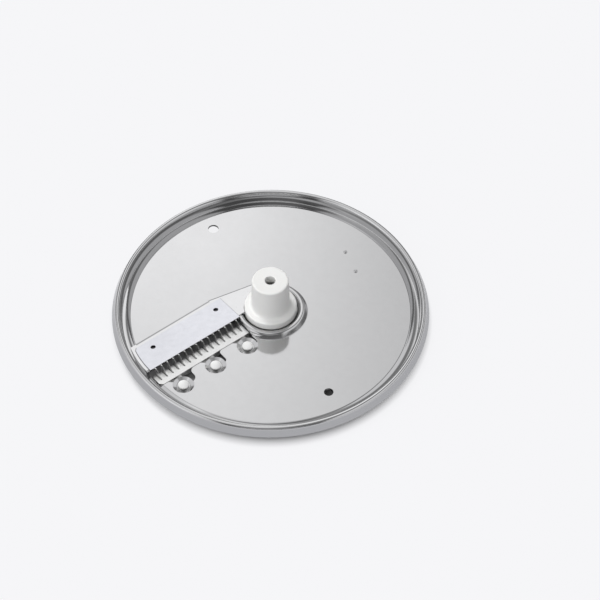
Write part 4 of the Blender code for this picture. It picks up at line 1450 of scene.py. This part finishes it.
@dataclass(frozen=True)
class Studio:
    """The pale floor, the soft light and the camera."""

    flat_height: float
    elevation: float = radians(50.5)
    distance: float = 1.5
    pixels_per_metre: float = 1811.0
    picture: float = 600.0
    centre_x: float = 270.5
    centre_y: float = 310.7
    sensor: float = 36.0
    backdrop: Colour = (0.922, 0.922, 0.939)
    floor_size: float = 8.0
    floor_colour: Colour = (0.88, 0.88, 0.896)
    # floor_painted_shadow and painted_shadow_inner: painted shadow, a darker floor colour under the disc.
    floor_painted_shadow: Colour = (0.4, 0.4, 0.405)
    painted_shadow_inner: float = 79.0 * MM
    # far_glow, far_light and far_fade: painted light, a camera-only glow on the floor under the disc's far
    # side.
    far_glow: float = 0.95
    near_glow: float = 0.95
    shadow_inner: float = 82.5 * MM
    shadow_outer: float = 89.5 * MM
    far_light: float = 55.0 * MM
    far_fade: float = 6.0 * MM
    key_elevation: float = radians(62.0)
    key_width: float = radians(16.0)
    key_power: float = 1.3
    key_turn: float = radians(40.0)

    def build_camera(self) -> None:
        """Sets the camera where the photograph was taken from, turned so that no shift is needed."""
        data = bpy.data.cameras.new("camera")
        data.sensor_width = self.sensor
        focal = self.pixels_per_metre * self.distance
        data.lens = focal / self.picture * self.sensor
        data.clip_start = 0.05
        data.clip_end = 50.0
        camera = bpy.data.objects.new("camera", data)
        bpy.context.scene.collection.objects.link(camera)
        bpy.context.scene.camera = camera
        back = Vector((0.0, -cos(self.elevation), sin(self.elevation)))
        right = Vector((1.0, 0.0, 0.0))
        up = back.cross(right)
        aside = (self.centre_x - self.picture / 2) / focal
        rise = (self.picture / 2 - self.centre_y) / focal
        camera.location = Vector((0.0, 0.0, self.flat_height)) + back * self.distance
        camera.rotation_euler = (-back - right * aside - up * rise).to_track_quat("-Z", "Y").to_euler()

    def build_floor(self) -> None:
        """Lays the pale floor, which keeps the object's shadow. It also darkens under the disc with painted
        shadow and glows under the disc's far side with painted light.
        """
        half = self.floor_size / 2
        mesh = bpy.data.meshes.new("floor")
        corners = [(-half, -half, 0.0), (half, -half, 0.0), (half, half, 0.0), (-half, half, 0.0)]
        mesh.from_pydata(corners, [], [(0, 1, 2, 3)])
        floor = link_new("floor", mesh)
        tree = ShaderTree("pale_floor")
        rays = tree.add("ShaderNodeLightPath").outputs
        tree.set("Roughness", 1.0)
        tree.set("Specular IOR Level", 0.0)
        glow = tree.add("ShaderNodeEmission", {"Color": (*self.backdrop, 1.0), "Strength": 1.0})
        radius = tree.add("ShaderNodeVectorMath", {0: tree.place}, operation="LENGTH").outputs["Value"]
        # Painted shadow: inside painted_shadow_inner the floor's colour is darkened to floor_painted_shadow
        # for all rays, fading back by shadow_outer.
        painted_shadow_mix = tree.spread(radius, self.painted_shadow_inner, self.shadow_outer)
        tree.set("Base Color", tree.tint(painted_shadow_mix, self.floor_painted_shadow, self.floor_colour))
        outside = tree.spread(radius, self.shadow_inner, self.shadow_outer, 0.0, self.near_glow)
        # Painted light: beyond far_light, camera rays see the floor under the disc glow at the backdrop's
        # colour, which shows through the far hole.
        depth = tree.add("ShaderNodeSeparateXYZ", {0: tree.place}).outputs["Y"]
        behind = tree.spread(depth, self.far_light, self.far_light + self.far_fade, 0.0, self.far_glow)
        under = tree.spread(radius, self.shadow_inner - self.far_fade, self.shadow_inner, 1.0, 0.0)
        share = tree.math("MAXIMUM", outside, tree.math("MULTIPLY", behind, under))
        factor = tree.math("MULTIPLY", share, rays["Is Camera Ray"])
        mix = tree.add("ShaderNodeMixShader", {0: factor, 1: tree.shader.outputs[0], 2: glow.outputs[0]})
        tree.links.new(mix.outputs[0], tree.nodes["Material Output"].inputs["Surface"])
        mesh.materials.append(tree.material)

    def build_key(self) -> None:
        """Hangs the key light behind the disc; the steel shows the tent and not the lamp."""
        data = bpy.data.lights.new("key_light", "SUN")
        data.energy = self.key_power
        data.angle = self.key_width
        lamp = bpy.data.objects.new("key_light", data)
        lamp.visible_glossy = False
        lamp.rotation_euler = (self.key_elevation - pi / 2, 0.0, self.key_turn)
        bpy.context.scene.collection.objects.link(lamp)

    def build(self) -> None:
        """Sets up the whole studio."""
        self.build_camera()
        self.build_floor()
        self.build_key()
        LightTent().build(self.backdrop)
        view = bpy.context.scene.view_settings
        view.view_transform = "Standard"


def main() -> None:
    """Builds the studio and every piece."""
    logging.basicConfig(level=logging.INFO, format="%(name)s: %(message)s")
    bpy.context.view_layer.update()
    layout = Layout()
    Studio(layout.flat_height).build()
    bench = Bench()
    finishes = Finishes(layout.blade_angle)
    blade = Blade(layout)
    PressedDisc(layout, blade).build(bench, finishes)
    Hub(layout).build(bench, finishes)
    blade.build(bench, finishes)
    Comb(layout).build(bench, finishes)


if __name__ == "__main__":
    main()
